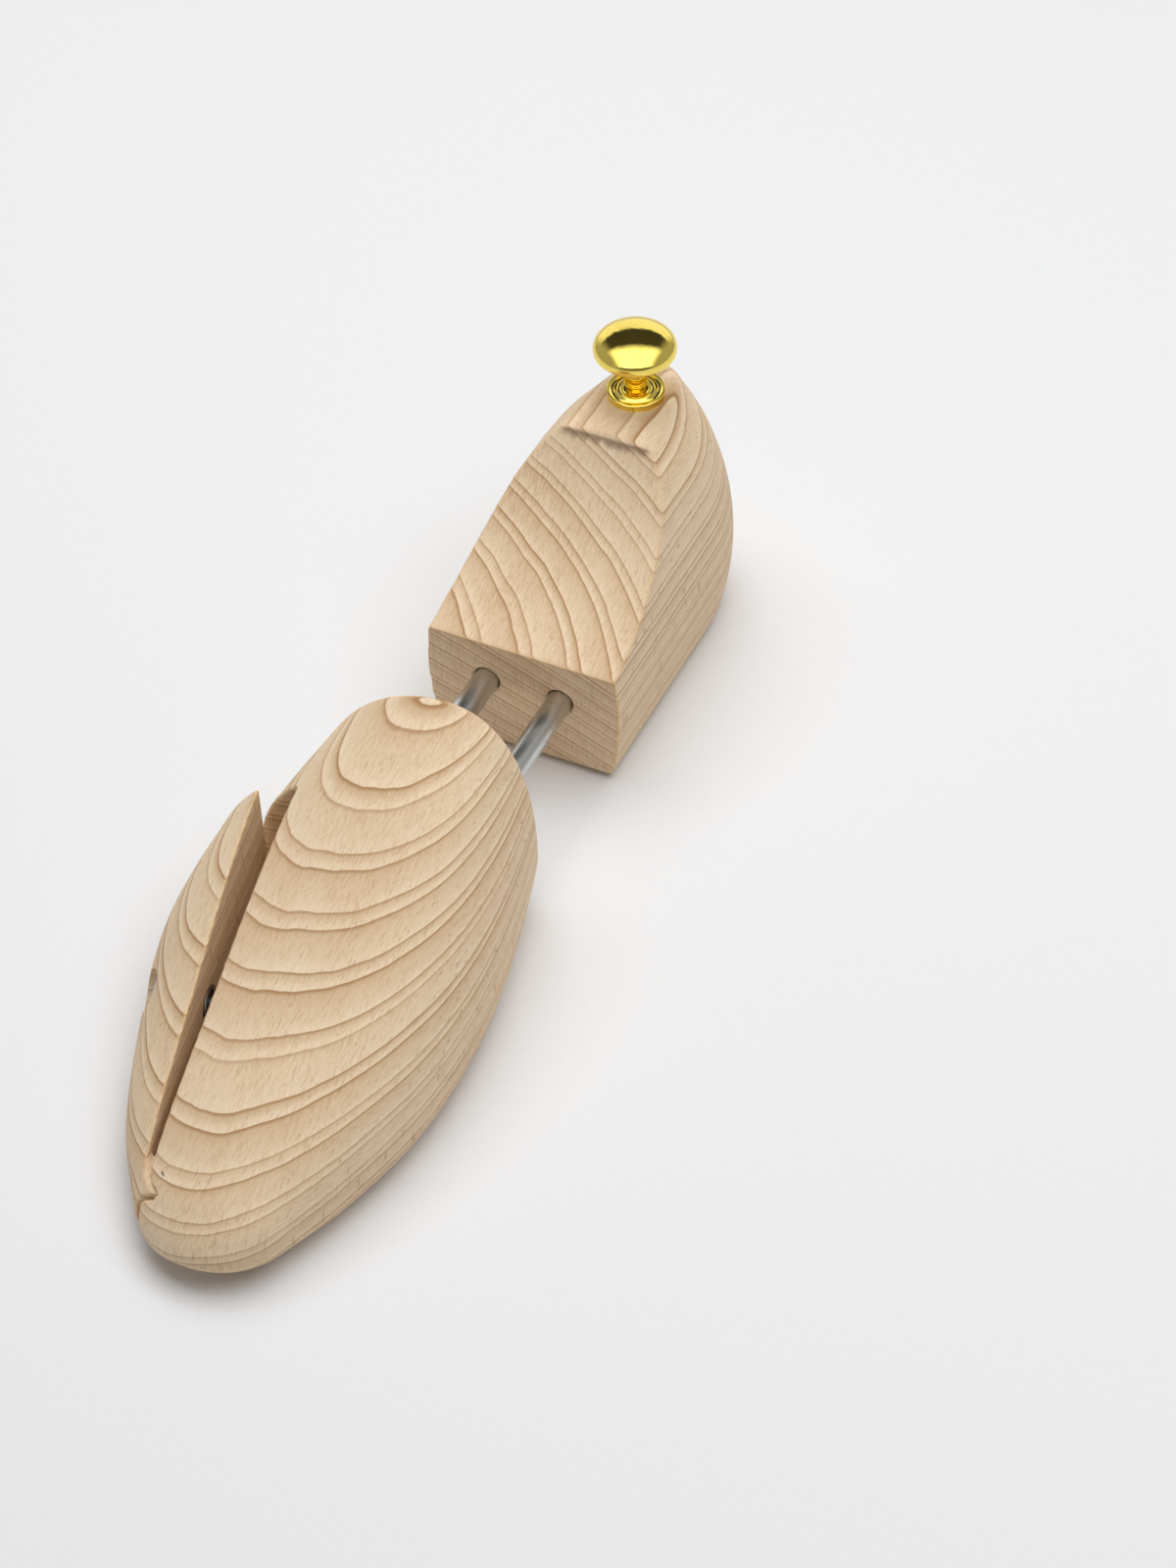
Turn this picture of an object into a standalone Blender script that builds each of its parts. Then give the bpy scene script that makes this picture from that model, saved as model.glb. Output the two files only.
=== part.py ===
"""A beech shoe tree: a forepart with a sprung side wing, two sprung tubes, and a heel block with a brass knob.

The tree fits a right shoe and stands free on a table, pushed out by its springs. The toe points to -Y and the
heel to +Y, the inner side of the foot is +X, and up is +Z. Lengths are in metres and angles in radians.
"""
import math

import bmesh
import bpy
from mathutils import Matrix, Vector

GAP = 0.0003  # between pieces that touch
WALL_OVERRUN = 0.002  # how far a cutter runs past the face that it opens

# The tree along Y
FORE_LENGTH = 0.152
FREE_GAP = 0.046
HEEL_LENGTH = 0.100
TOE_Y = -(FORE_LENGTH + FREE_GAP + HEEL_LENGTH) / 2
FORE_REAR_Y = TOE_Y + FORE_LENGTH
HEEL_FRONT_Y = FORE_REAR_Y + FREE_GAP
HEEL_BACK_Y = HEEL_FRONT_Y + HEEL_LENGTH

# Heel block
HEEL_HEIGHT = 0.070
HEEL_HALF_WIDTH = 0.0287
HEEL_TOP_HALF_WIDTH = 0.0155
HEEL_WIDEST_Z = 0.024
HEEL_FOOT_TAPER = 0.003
HEEL_LEAN = 0.009
HEEL_ROUND_LENGTH = 0.037
HEEL_ROUND_POWER = 2.3
HEEL_TOP_EDGE = 0.0025
HEEL_FOOT_EDGE = 0.004
RIDGE_FROM_BACK = 0.0445
RIDGE_SLOPE = math.radians(48)
RAMP_FRONT_HEIGHT = 0.0375

# Knob, on the flat top of the heel block
KNOB_FROM_BACK = 0.025
KNOB_RADIUS = 0.0115
KNOB_WIDEST_HEIGHT = 0.0169
KNOB_DOME_RISE = 0.0058
KNOB_EDGE_DROP = 0.0012
KNOB_UNDERSIDE_DROP = 0.0027
KNOB_EDGE_INSET = 0.0004
KNOB_UNDERSIDE_INSET = 0.0013
KNOB_NECK_RADIUS = 0.0027
KNOB_NECK_TOP_RADIUS = 0.0033
KNOB_NECK_FILLET = 0.0015
ROSETTE_RADIUS = 0.0081
ROSETTE_RIM_HEIGHT = 0.0026
ROSETTE_CREST_RADIUS = 0.0049
ROSETTE_CREST_HEIGHT = 0.0031
ROSETTE_CHANNEL_DEPTH = 0.0007
ROSETTE_FLOOR_ROOM = 0.0006
ROSETTE_FLOOR = 0.0023
ROSETTE_BEAD = 0.0004
HANGER_RADIUS = 0.0015
HANGER_IN_WOOD = 0.022
HANGER_IN_KNOB = 0.010

# Forepart: share of its length from the toe, inner and outer half-width, crown and sole height
FORE_STATIONS = (
    (0.00, 0.0215, 0.0115, 0.0160, 0.0050),
    (0.09, 0.0245, 0.0165, 0.0210, 0.0035),
    (0.20, 0.0310, 0.0265, 0.0275, 0.0010),
    (0.40, 0.0385, 0.0370, 0.0370, -0.0008),
    (0.60, 0.0395, 0.0435, 0.0470, -0.0010),
    (0.80, 0.0350, 0.0405, 0.0570, -0.0004),
    (1.00, 0.0275, 0.0340, 0.0640, 0.0035),
)
NOSE_LENGTH = 0.014
NOSE_X = 0.004
NOSE_Z = 0.009
FORE_WIDEST_SHARE = 0.30
FORE_CROWN_OFFSET = 0.004
FORE_CROWN_POWER = 2.1
FORE_SOLE_POWER = 3.4
FORE_REAR_EDGE = 0.0025

# Side wing, cut from the outer side of the forepart
SPLIT_FRONT_X = -0.012
SPLIT_REAR_X = -0.027
SPLIT_FRONT_FROM_TOE = 0.008
WING_END_FROM_REAR = 0.030
WING_END_FROM_TOE = FORE_LENGTH - WING_END_FROM_REAR
KERF = 0.0016
WING_OPEN = math.radians(4.5)
HINGE_X = -0.007
HINGE_FROM_TOE = 0.017
HINGE_PIN_RADIUS = 0.0015
HINGE_PIN_BOTTOM = 0.005
HINGE_PIN_LENGTH = 0.0142
TONGUE_BOTTOM = 0.0085
TONGUE_THICKNESS = 0.008
TONGUE_HALF_WIDTH = 0.0055
TONGUE_SWING_ROOM = 0.0012

# Guide bolt of the wing, with its washer and its spring
BOLT_AHEAD_OF_TUBES = 0.012
BOLT_HEIGHT = 0.018
BOLT_RADIUS = 0.0020
BOLT_IN_BLOCK = 0.018
BOLT_HEAD_OVERLAP = 0.0022
BOLT_HEAD_THICKNESS = 0.0030
BOLT_SWING_ROOM = 0.0012
WASHER_SEAT = 0.0020
WASHER_THICKNESS = 0.0010
POCKET_DEPTH = 0.005
WING_WEB = 0.0047
COUNTERBORE_ROOM = 0.0013
WING_COIL_SEAT = 0.0007
WING_WIRE = 0.0008
WING_TURNS = 6
SPRING_ROOM = 0.0006

# The two sprung tubes
TUBE_HEIGHT = 0.024
TUBE_SPACING = 0.022
INNER_TUBE_RADIUS = 0.0036
INNER_TUBE_WALL = 0.0008
INNER_TUBE_IN_HEEL = 0.030
BUSH_WALL = 0.0008
OUTER_TUBE_WALL = 0.0007
OUTER_TUBE_IN_WOOD = 0.070
OUTER_TUBE_PROUD = 0.007
BUSH_LENGTH = 0.008
BUSH_FLANGE = 0.0012
PISTON_LENGTH = 0.0097
PISTON_SOCKET = 0.0064
PLUG_LENGTH = 0.007
TUBE_WIRE = 0.0010
TUBE_TURNS = 11
PIN_RADIUS = 0.0012
PIN_BOTTOM = 0.0006
PIN_PAST_TUBE_AXIS = 0.007
HEEL_PIN_FROM_FRONT = 0.015

ROUND_STEPS = 24
COIL_STEPS = 12
DRUM_STEPS = 128

INWARD_SIDES = {"medial": 1, "lateral": -1}

# Fits and places that several pieces share
TUBE_BORE = INNER_TUBE_RADIUS + GAP + BUSH_WALL + GAP
OUTER_TUBE_RADIUS = TUBE_BORE + OUTER_TUBE_WALL
TUBE_COIL_RADIUS = TUBE_BORE - SPRING_ROOM - TUBE_WIRE / 2
PIN_TOP = TUBE_HEIGHT + PIN_PAST_TUBE_AXIS
WING_HOLE_RADIUS = BOLT_RADIUS + BOLT_SWING_ROOM
WING_COIL_RADIUS = WING_HOLE_RADIUS + WING_COIL_SEAT + WING_WIRE / 2
POCKET_RADIUS = WING_COIL_RADIUS + WING_WIRE / 2 + SPRING_ROOM
WASHER_RADIUS = WING_HOLE_RADIUS + WASHER_SEAT
BOLT_HEAD_RADIUS = BOLT_RADIUS + BOLT_HEAD_OVERLAP
KNOB_PLACE = Vector((0, HEEL_BACK_Y - KNOB_FROM_BACK, HEEL_HEIGHT))
HANGER_HOLE = HANGER_RADIUS + GAP
HINGE_PLACE = Vector((HINGE_X, TOE_Y + HINGE_FROM_TOE, 0))
SPLIT_RUN = Vector(
    (SPLIT_REAR_X - SPLIT_FRONT_X, WING_END_FROM_TOE - SPLIT_FRONT_FROM_TOE, 0)
).normalized()
SPLIT_OUTWARD = Vector((-SPLIT_RUN.y, SPLIT_RUN.x, 0))
TUBE_FRONT_Y = FORE_REAR_Y - OUTER_TUBE_IN_WOOD
TUBE_REAR_Y = FORE_REAR_Y + OUTER_TUBE_PROUD
BOLT_FROM_TOE = TUBE_FRONT_Y - BOLT_AHEAD_OF_TUBES - TOE_Y
PISTON_REAR_Y = TUBE_REAR_Y - BUSH_LENGTH - GAP
PISTON_FRONT_Y = PISTON_REAR_Y - PISTON_LENGTH
PLUG_REAR_Y = TUBE_FRONT_Y + PLUG_LENGTH
HEEL_PIN_Y = HEEL_FRONT_Y + HEEL_PIN_FROM_FRONT
FORE_PIN_Y = TUBE_FRONT_Y + PLUG_LENGTH / 2


def clear_scene():
    for obj in list(bpy.data.objects):
        bpy.data.objects.remove(obj, do_unlink=True)


def new_collection(name):
    collection = bpy.data.collections.new(name)
    bpy.context.scene.collection.children.link(collection)
    return collection


def make_material(name, colour, roughness, metallic):
    material = bpy.data.materials.new(name)
    material.use_nodes = True
    shader = material.node_tree.nodes["Principled BSDF"]
    shader.inputs["Base Color"].default_value = (*colour, 1)
    shader.inputs["Roughness"].default_value = roughness
    shader.inputs["Metallic"].default_value = metallic
    return material


def place_object(name, data, location=(0, 0, 0), direction=(0, 0, 1)):
    """An object in the parts collection, with its own Z axis along direction."""
    obj = bpy.data.objects.new(name, data)
    obj.location = location
    obj.rotation_mode = "QUATERNION"
    obj.rotation_quaternion = Vector((0, 0, 1)).rotation_difference(Vector(direction))
    PARTS.objects.link(obj)
    return obj


def as_cutter(obj):
    """Moves a helper to the cutters, which are not parts."""
    PARTS.objects.unlink(obj)
    CUTTERS.objects.link(obj)
    obj.hide_render = True
    obj.display_type = "WIRE"
    return obj


def finish(obj, material, smooth_angle=35):
    if obj.type == "MESH":
        obj.data.shade_smooth()
        obj.data.set_sharp_from_angle(angle=math.radians(smooth_angle))
    obj.data.materials.append(material)
    return obj


def boolean(obj, other, operation="DIFFERENCE"):
    modifier = obj.modifiers.new(other.name, "BOOLEAN")
    modifier.operation = operation
    modifier.solver = "EXACT"
    modifier.object = other


def mesh_from(name, bm):
    bmesh.ops.recalc_face_normals(bm, faces=bm.faces)
    mesh = bpy.data.meshes.new(name)
    bm.to_mesh(mesh)
    bm.free()
    return mesh


def rod(name, radius, start, end, steps=ROUND_STEPS):
    """A solid cylinder between two points."""
    start, end = Vector(start), Vector(end)
    bm = bmesh.new()
    bmesh.ops.create_cone(
        bm,
        cap_ends=True,
        segments=steps,
        radius1=radius,
        radius2=radius,
        depth=(end - start).length,
    )
    return place_object(name, mesh_from(name, bm), (start + end) / 2, end - start)


def prism(name, outline, bottom, top):
    """A flat outline in X and Y, made solid from one height to another."""
    bm = bmesh.new()
    floor = bm.faces.new([bm.verts.new((x, y, bottom)) for x, y in outline])
    grown = bmesh.ops.extrude_face_region(bm, geom=[floor])
    raised = [item for item in grown["geom"] if isinstance(item, bmesh.types.BMVert)]
    bmesh.ops.translate(bm, verts=raised, vec=(0, 0, top - bottom))
    return place_object(name, mesh_from(name, bm))


def turned(name, profile, location, direction=(0, 0, 1), closed=False):
    """A profile of (radius, height) points, from the top down the outer side, turned about its own Z axis."""
    mesh = bpy.data.meshes.new(name)
    edges = [(i, i + 1) for i in range(len(profile) - 1)]
    if closed:
        edges.append((len(profile) - 1, 0))
    mesh.from_pydata([(radius, 0, height) for radius, height in profile], edges, [])
    obj = place_object(name, mesh, location, direction)
    screw = obj.modifiers.new("turn", "SCREW")
    screw.axis = "Z"
    screw.steps = ROUND_STEPS
    screw.render_steps = ROUND_STEPS
    screw.use_merge_vertices = True
    screw.merge_threshold = 0.00001
    return obj


def sleeve(name, inner, outer, start, end):
    """A turned tube between two points."""
    start, end = Vector(start), Vector(end)
    length = (end - start).length
    profile = [(outer, length), (outer, 0), (inner, 0), (inner, length)]
    return turned(name, profile, start, end - start, closed=True)


def coil(name, radius, wire, turns, start, end):
    """A compression spring between two seats, its end turns closed up."""
    start, end = Vector(start), Vector(end)
    length = (end - start).length - wire
    dead = 1.05 * wire
    live = (length - 2 * dead) / (turns - 2)
    steps = turns * COIL_STEPS
    curve = bpy.data.curves.new(name, "CURVE")
    curve.dimensions = "3D"
    curve.bevel_depth = wire / 2
    curve.bevel_resolution = 2
    curve.use_fill_caps = True
    spline = curve.splines.new("POLY")
    spline.points.add(steps)
    for i, point in enumerate(spline.points):
        turn = i / COIL_STEPS
        first = min(turn, 1)
        last = max(turn - (turns - 1), 0)
        height = wire / 2 + dead * (first + last) + live * (turn - first - last)
        angle = 2 * math.pi * turn
        point.co = (radius * math.cos(angle), radius * math.sin(angle), height, 1)
    return place_object(name, curve, start, end - start)


def loft(name, rings, sole=None):
    """A skin over rings of equally many points, closed at both ends and, with sole, cut flat at that height."""
    bm = bmesh.new()
    loops = [[bm.verts.new(point) for point in ring] for ring in rings]
    count = len(loops[0])
    for near, far in zip(loops, loops[1:]):
        for i in range(count):
            after = (i + 1) % count
            bm.faces.new((near[i], near[after], far[after], far[i]))
    bm.faces.new(reversed(loops[0]))
    bm.faces.new(loops[-1])
    if sole is not None:
        bmesh.ops.bisect_plane(
            bm,
            geom=bm.verts[:] + bm.edges[:] + bm.faces[:],
            plane_co=(0, 0, sole),
            plane_no=(0, 0, 1),
            clear_inner=True,
        )
        bmesh.ops.contextual_create(bm, geom=[e for e in bm.edges if e.is_boundary])
    return mesh_from(name, bm)


def quarter(steps):
    """Pairs of a rounded edge of radius 1: how far it is drawn in, from 1 down, and how far along, from 0 up."""
    angles = [math.pi / 2 * i / steps for i in range(steps)]
    return [(1 - math.sin(a), 1 - math.cos(a)) for a in angles]


# Heel block


def heel_half_width(z):
    """The widest level is low on the block; above it the sides close in along an ellipse."""
    if z < HEEL_WIDEST_Z:
        return HEEL_HALF_WIDTH - HEEL_FOOT_TAPER * (1 - z / HEEL_WIDEST_Z) ** 2
    rise = (z - HEEL_WIDEST_Z) / (HEEL_HEIGHT - HEEL_WIDEST_Z)
    share = 1 - (HEEL_TOP_HALF_WIDTH / HEEL_HALF_WIDTH) ** 2
    return HEEL_HALF_WIDTH * math.sqrt(1 - share * rise**2)


def heel_lean(z):
    """How far the back of the block lies in front of its rearmost point."""
    if z < HEEL_WIDEST_Z:
        return HEEL_FOOT_TAPER * (1 - z / HEEL_WIDEST_Z) ** 2
    return HEEL_LEAN * ((z - HEEL_WIDEST_Z) / (HEEL_HEIGHT - HEEL_WIDEST_Z)) ** 2


def heel_ring(z, drawn_in):
    """A level of the heel block: straight across the front, round at the back."""
    half = heel_half_width(z) - drawn_in
    back = HEEL_BACK_Y - heel_lean(z) - drawn_in
    front = HEEL_FRONT_Y + drawn_in
    round_start = back - HEEL_ROUND_LENGTH
    sides, turns = 5, 24
    ring = [(half, front + (round_start - front) * i / sides) for i in range(sides)]
    for i in range(turns + 1):
        angle = math.pi * i / turns
        across, along = math.cos(angle), math.sin(angle)
        power = 2 / HEEL_ROUND_POWER
        x = half * math.copysign(abs(across) ** power, across)
        ring.append((x, round_start + HEEL_ROUND_LENGTH * along**power))
    ring += [(-x, y) for x, y in reversed(ring[:sides])]
    return [(x, y, z) for x, y in ring]


def heel_rings():
    levels = 10
    foot = [(HEEL_FOOT_EDGE * along, HEEL_FOOT_EDGE * inset) for inset, along in quarter(4)]
    low, high = HEEL_FOOT_EDGE, HEEL_HEIGHT - HEEL_TOP_EDGE
    middle = [(low + (high - low) * i / levels, 0) for i in range(levels + 1)]
    top = [
        (HEEL_HEIGHT - HEEL_TOP_EDGE * along, HEEL_TOP_EDGE * inset)
        for inset, along in reversed(quarter(3))
    ]
    return [heel_ring(z, drawn_in) for z, drawn_in in foot + middle + top]


def make_ramp_drum():
    """The drum that hollows the ramp: its round leaves the ridge at a slope and meets the front edge."""
    run = HEEL_LENGTH - RIDGE_FROM_BACK
    fall = HEEL_HEIGHT - RAMP_FRONT_HEIGHT
    steep, level = math.sin(RIDGE_SLOPE), math.cos(RIDGE_SLOPE)
    radius = (run**2 + fall**2) / (2 * (run * steep - fall * level))
    centre_y = HEEL_BACK_Y - RIDGE_FROM_BACK - radius * steep
    centre_z = HEEL_HEIGHT + radius * level
    reach = 2 * HEEL_HALF_WIDTH
    ends = [(side * reach, centre_y, centre_z) for side in (-1, 1)]
    return as_cutter(rod("cut_ramp", radius, *ends, steps=DRUM_STEPS))


def make_heel_block(material):
    mesh = loft("heel_block", heel_rings())
    block = place_object("heel_block", mesh)
    boolean(block, make_ramp_drum())
    hole_bottom = KNOB_PLACE - Vector((0, 0, HANGER_IN_WOOD + GAP))
    hole_top = KNOB_PLACE + Vector((0, 0, WALL_OVERRUN))
    boolean(block, as_cutter(rod("cut_hanger", HANGER_HOLE, hole_bottom, hole_top)))
    for side, sign in INWARD_SIDES.items():
        x = sign * TUBE_SPACING / 2
        bore = rod(
            f"cut_heel_bore_{side}",
            INNER_TUBE_RADIUS + GAP,
            (x, HEEL_FRONT_Y - WALL_OVERRUN, TUBE_HEIGHT),
            (x, HEEL_FRONT_Y + INNER_TUBE_IN_HEEL + GAP, TUBE_HEIGHT),
        )
        boolean(block, as_cutter(bore))
        boolean(block, make_pin_cutter(f"cut_heel_pin_{side}", x, HEEL_PIN_Y))
    return finish(block, material)


# Knob


def knob_profile():
    """From the crown of the dome, round the rim, under the head and down the neck, then up the tapped hole."""
    steps = 9
    profile = []
    for i in range(steps + 1):
        angle = math.pi / 2 * i / steps
        rise = KNOB_DOME_RISE * math.cos(angle)
        profile.append((KNOB_RADIUS * math.sin(angle), KNOB_WIDEST_HEIGHT + rise))
    underside = KNOB_WIDEST_HEIGHT - KNOB_UNDERSIDE_DROP
    profile.append((KNOB_RADIUS - KNOB_EDGE_INSET, KNOB_WIDEST_HEIGHT - KNOB_EDGE_DROP))
    profile.append((KNOB_RADIUS - KNOB_UNDERSIDE_INSET, underside))
    for inset, along in quarter(3):
        radius = KNOB_NECK_TOP_RADIUS + KNOB_NECK_FILLET * inset
        profile.append((radius, underside - KNOB_NECK_FILLET * along))
    profile.append((KNOB_NECK_TOP_RADIUS, underside - KNOB_NECK_FILLET))
    foot = ROSETTE_FLOOR + GAP
    profile.append((KNOB_NECK_RADIUS, foot))
    profile.append((HANGER_HOLE, foot))
    profile.append((HANGER_HOLE, HANGER_IN_KNOB + GAP))
    profile.append((0, HANGER_IN_KNOB + GAP))
    return profile


def rosette_profile():
    """A collar: a floor for the knob's neck, a crest round it, a shallow channel and a beaded rim."""
    rim = ROSETTE_RADIUS - ROSETTE_BEAD
    steps = 4
    channel = []
    for i in range(steps + 1):
        share = i / steps
        level = ROSETTE_CREST_HEIGHT + (ROSETTE_RIM_HEIGHT - ROSETTE_CREST_HEIGHT) * share
        dip = ROSETTE_CHANNEL_DEPTH * math.sin(math.pi * share)
        radius = ROSETTE_CREST_RADIUS + (rim - ROSETTE_CREST_RADIUS) * share
        channel.append((radius, level - dip))
    return [
        (HANGER_HOLE, ROSETTE_FLOOR),
        (KNOB_NECK_RADIUS + ROSETTE_FLOOR_ROOM, ROSETTE_FLOOR),
        *channel,
        (ROSETTE_RADIUS, ROSETTE_RIM_HEIGHT - ROSETTE_BEAD),
        (ROSETTE_RADIUS, GAP + ROSETTE_BEAD),
        (rim, GAP),
        (HANGER_HOLE, GAP),
    ]


def make_knob(material):
    return finish(turned("knob", knob_profile(), KNOB_PLACE), material)


def make_rosette(material):
    rosette = turned("knob_rosette", rosette_profile(), KNOB_PLACE, closed=True)
    return finish(rosette, material)


def make_hanger_bolt(material):
    bottom = KNOB_PLACE - Vector((0, 0, HANGER_IN_WOOD))
    top = KNOB_PLACE + Vector((0, 0, HANGER_IN_KNOB))
    return finish(rod("knob_hanger_bolt", HANGER_RADIUS, bottom, top), material)


# Forepart and wing


def station(from_toe):
    """The forepart's sizes at a distance from the toe, by smooth curves through the stations."""
    share = from_toe / FORE_LENGTH
    last = len(FORE_STATIONS) - 1
    k = max(i for i in range(last) if FORE_STATIONS[i][0] <= share)
    start, end = FORE_STATIONS[k], FORE_STATIONS[k + 1]
    before, after = FORE_STATIONS[max(k - 1, 0)], FORE_STATIONS[min(k + 2, last)]
    span = end[0] - start[0]
    t = (share - start[0]) / span
    sizes = []
    for i in range(1, 5):
        leave = (end[i] - before[i]) / (end[0] - before[0]) * span
        arrive = (after[i] - start[i]) / (after[0] - start[0]) * span
        sizes.append(
            start[i] * (2 * t**3 - 3 * t**2 + 1)
            + leave * (t**3 - 2 * t**2 + t)
            + end[i] * (3 * t**2 - 2 * t**3)
            + arrive * (t**3 - t**2)
        )
    return sizes


def fore_ring(from_toe, drawn_in, nose):
    """A section across the forepart; nose is its share of the full size near the toe."""
    inner, outer, crown, sole = station(from_toe)
    crown, sole = crown - drawn_in, sole + drawn_in
    widest = sole + FORE_WIDEST_SHARE * (crown - sole)
    points = 44
    ring = []
    for i in range(points):
        angle = 2 * math.pi * (i + 0.5) / points
        across, up = math.cos(angle), math.sin(angle)
        power = 2 / (FORE_CROWN_POWER if up > 0 else FORE_SOLE_POWER)
        half = (inner if across > 0 else outer) - drawn_in
        rise = abs(up) ** power
        x = half * math.copysign(abs(across) ** power, across)
        z = widest + (crown - widest) * rise if up > 0 else widest - (widest - sole) * rise
        if up > 0:
            x += FORE_CROWN_OFFSET * rise**2
        ring.append(
            (
                NOSE_X + (x - NOSE_X) * nose,
                TOE_Y + from_toe,
                NOSE_Z + (z - NOSE_Z) * nose,
            )
        )
    return ring


def fore_rings():
    """Rings from the round nose to the rounded rim of the rear face."""
    rings = []
    nose_steps, body_steps = 7, 18
    for i in range(1, nose_steps):
        along = 1 - math.cos(math.pi / 2 * i / nose_steps)
        share = math.sqrt(1 - (1 - along) ** 2)
        rings.append(fore_ring(NOSE_LENGTH * along, 0, share))
    body = FORE_LENGTH - FORE_REAR_EDGE - NOSE_LENGTH
    for i in range(body_steps + 1):
        rings.append(fore_ring(NOSE_LENGTH + body * i / body_steps, 0, 1))
    for inset, along in reversed(quarter(3)):
        rings.append(fore_ring(FORE_LENGTH - FORE_REAR_EDGE * along, FORE_REAR_EDGE * inset, 1))
    return rings


def split_point(from_toe, outward):
    """A point on the split line, moved outward from it."""
    share = (from_toe - SPLIT_FRONT_FROM_TOE) / (WING_END_FROM_TOE - SPLIT_FRONT_FROM_TOE)
    x = SPLIT_FRONT_X + (SPLIT_REAR_X - SPLIT_FRONT_X) * share
    return Vector((x, TOE_Y + from_toe, 0)) + SPLIT_OUTWARD * outward


def wing_outline(outward, end_shift):
    """The plan of the wing's side of the split: outward moves the split face, end_shift the rear shoulder."""
    far_x, ahead = -0.1, -0.03
    end_y = TOE_Y + WING_END_FROM_TOE + end_shift
    front = split_point(ahead, outward)
    near = split_point(WING_END_FROM_TOE, outward)
    rear = near + SPLIT_RUN * ((end_y - near.y) / SPLIT_RUN.y)
    return [(front.x, front.y), (rear.x, rear.y), (far_x, rear.y), (far_x, front.y)]


def tongue_outline(half_width, reach_out):
    """The plan of the hinge tongue: round about the pin, and straight out into the wing."""
    turns = 12
    outline = []
    for i in range(turns + 1):
        angle = math.pi * i / turns - math.pi / 2
        x = HINGE_PLACE.x + half_width * math.cos(angle)
        outline.append((x, HINGE_PLACE.y + half_width * math.sin(angle)))
    outline.append((HINGE_PLACE.x - reach_out, HINGE_PLACE.y + half_width))
    outline.append((HINGE_PLACE.x - reach_out, HINGE_PLACE.y - half_width))
    return outline


def fore_mesh(name):
    return loft(name, fore_rings(), sole=0)


def bolt_base():
    """Where the guide bolt crosses the split."""
    return split_point(BOLT_FROM_TOE, 0) + Vector((0, 0, BOLT_HEIGHT))


def bolt_point(outward):
    return bolt_base() + SPLIT_OUTWARD * outward


def half_open_face():
    """Where the wing's split face crosses the bolt with the wing half open."""
    along = (bolt_base() - HINGE_PLACE).dot(SPLIT_RUN)
    return KERF / 2 + along * math.sin(WING_OPEN / 2)


def when_open(outward):
    """How far out a point of the wing, on the bolt's line with the wing half open, lies with it open."""
    swing = Matrix.Rotation(WING_OPEN / 2, 3, "Z")
    opened = HINGE_PLACE + swing @ (bolt_point(outward) - HINGE_PLACE)
    return (opened - bolt_base()).dot(SPLIT_OUTWARD)


def tilt_room(radius):
    """What a seat of this radius gains at its edge, as the open wing stands half its swing off the bolt."""
    return radius * math.sin(WING_OPEN / 2)


def make_forepart_block(material):
    block = place_object("forepart_block", fore_mesh("forepart_block"))
    top = HEEL_HEIGHT + FREE_GAP
    outline = wing_outline(-KERF / 2, KERF / 2)
    boolean(block, as_cutter(prism("cut_split", outline, -WALL_OVERRUN, top)))
    slot = prism(
        "cut_tongue_slot",
        tongue_outline(TONGUE_HALF_WIDTH + TONGUE_SWING_ROOM, 2 * TONGUE_HALF_WIDTH),
        TONGUE_BOTTOM - GAP,
        TONGUE_BOTTOM + TONGUE_THICKNESS + GAP,
    )
    boolean(block, as_cutter(slot))
    pin_hole = rod(
        "cut_hinge_block",
        HINGE_PIN_RADIUS + GAP,
        HINGE_PLACE - Vector((0, 0, WALL_OVERRUN)),
        HINGE_PLACE + Vector((0, 0, HINGE_PIN_BOTTOM + HINGE_PIN_LENGTH + GAP)),
    )
    boolean(block, as_cutter(pin_hole))
    pocket_floor = -KERF / 2 - POCKET_DEPTH
    thread_end = pocket_floor - BOLT_IN_BLOCK - GAP
    for name, radius, inner, outer in (
        ("cut_block_pocket", POCKET_RADIUS, pocket_floor, WALL_OVERRUN),
        ("cut_bolt_thread", BOLT_RADIUS + GAP, thread_end, WALL_OVERRUN),
    ):
        boolean(block, as_cutter(rod(name, radius, bolt_point(inner), bolt_point(outer))))
    for side, sign in INWARD_SIDES.items():
        x = sign * TUBE_SPACING / 2
        bore = rod(
            f"cut_fore_bore_{side}",
            OUTER_TUBE_RADIUS + GAP,
            (x, TUBE_FRONT_Y - GAP, TUBE_HEIGHT),
            (x, FORE_REAR_Y + WALL_OVERRUN, TUBE_HEIGHT),
        )
        boolean(block, as_cutter(bore))
        boolean(block, make_pin_cutter(f"cut_fore_pin_{side}", x, FORE_PIN_Y))
    return finish(block, material)


def hang(obj, joint):
    """Parents a piece to the empty on its joint; it is placed as if that empty stood unturned."""
    obj.location = obj.location - joint.location
    obj.parent = joint
    return obj


def bored_half_open(name, radius, inner, outer):
    """A hole in the wing, in line with the bolt when the wing is half open."""
    swing = Matrix.Rotation(-WING_OPEN / 2, 3, "Z")
    ends = [HINGE_PLACE + swing @ (bolt_point(t) - HINGE_PLACE) for t in (inner, outer)]
    return as_cutter(rod(name, radius, *ends))


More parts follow.
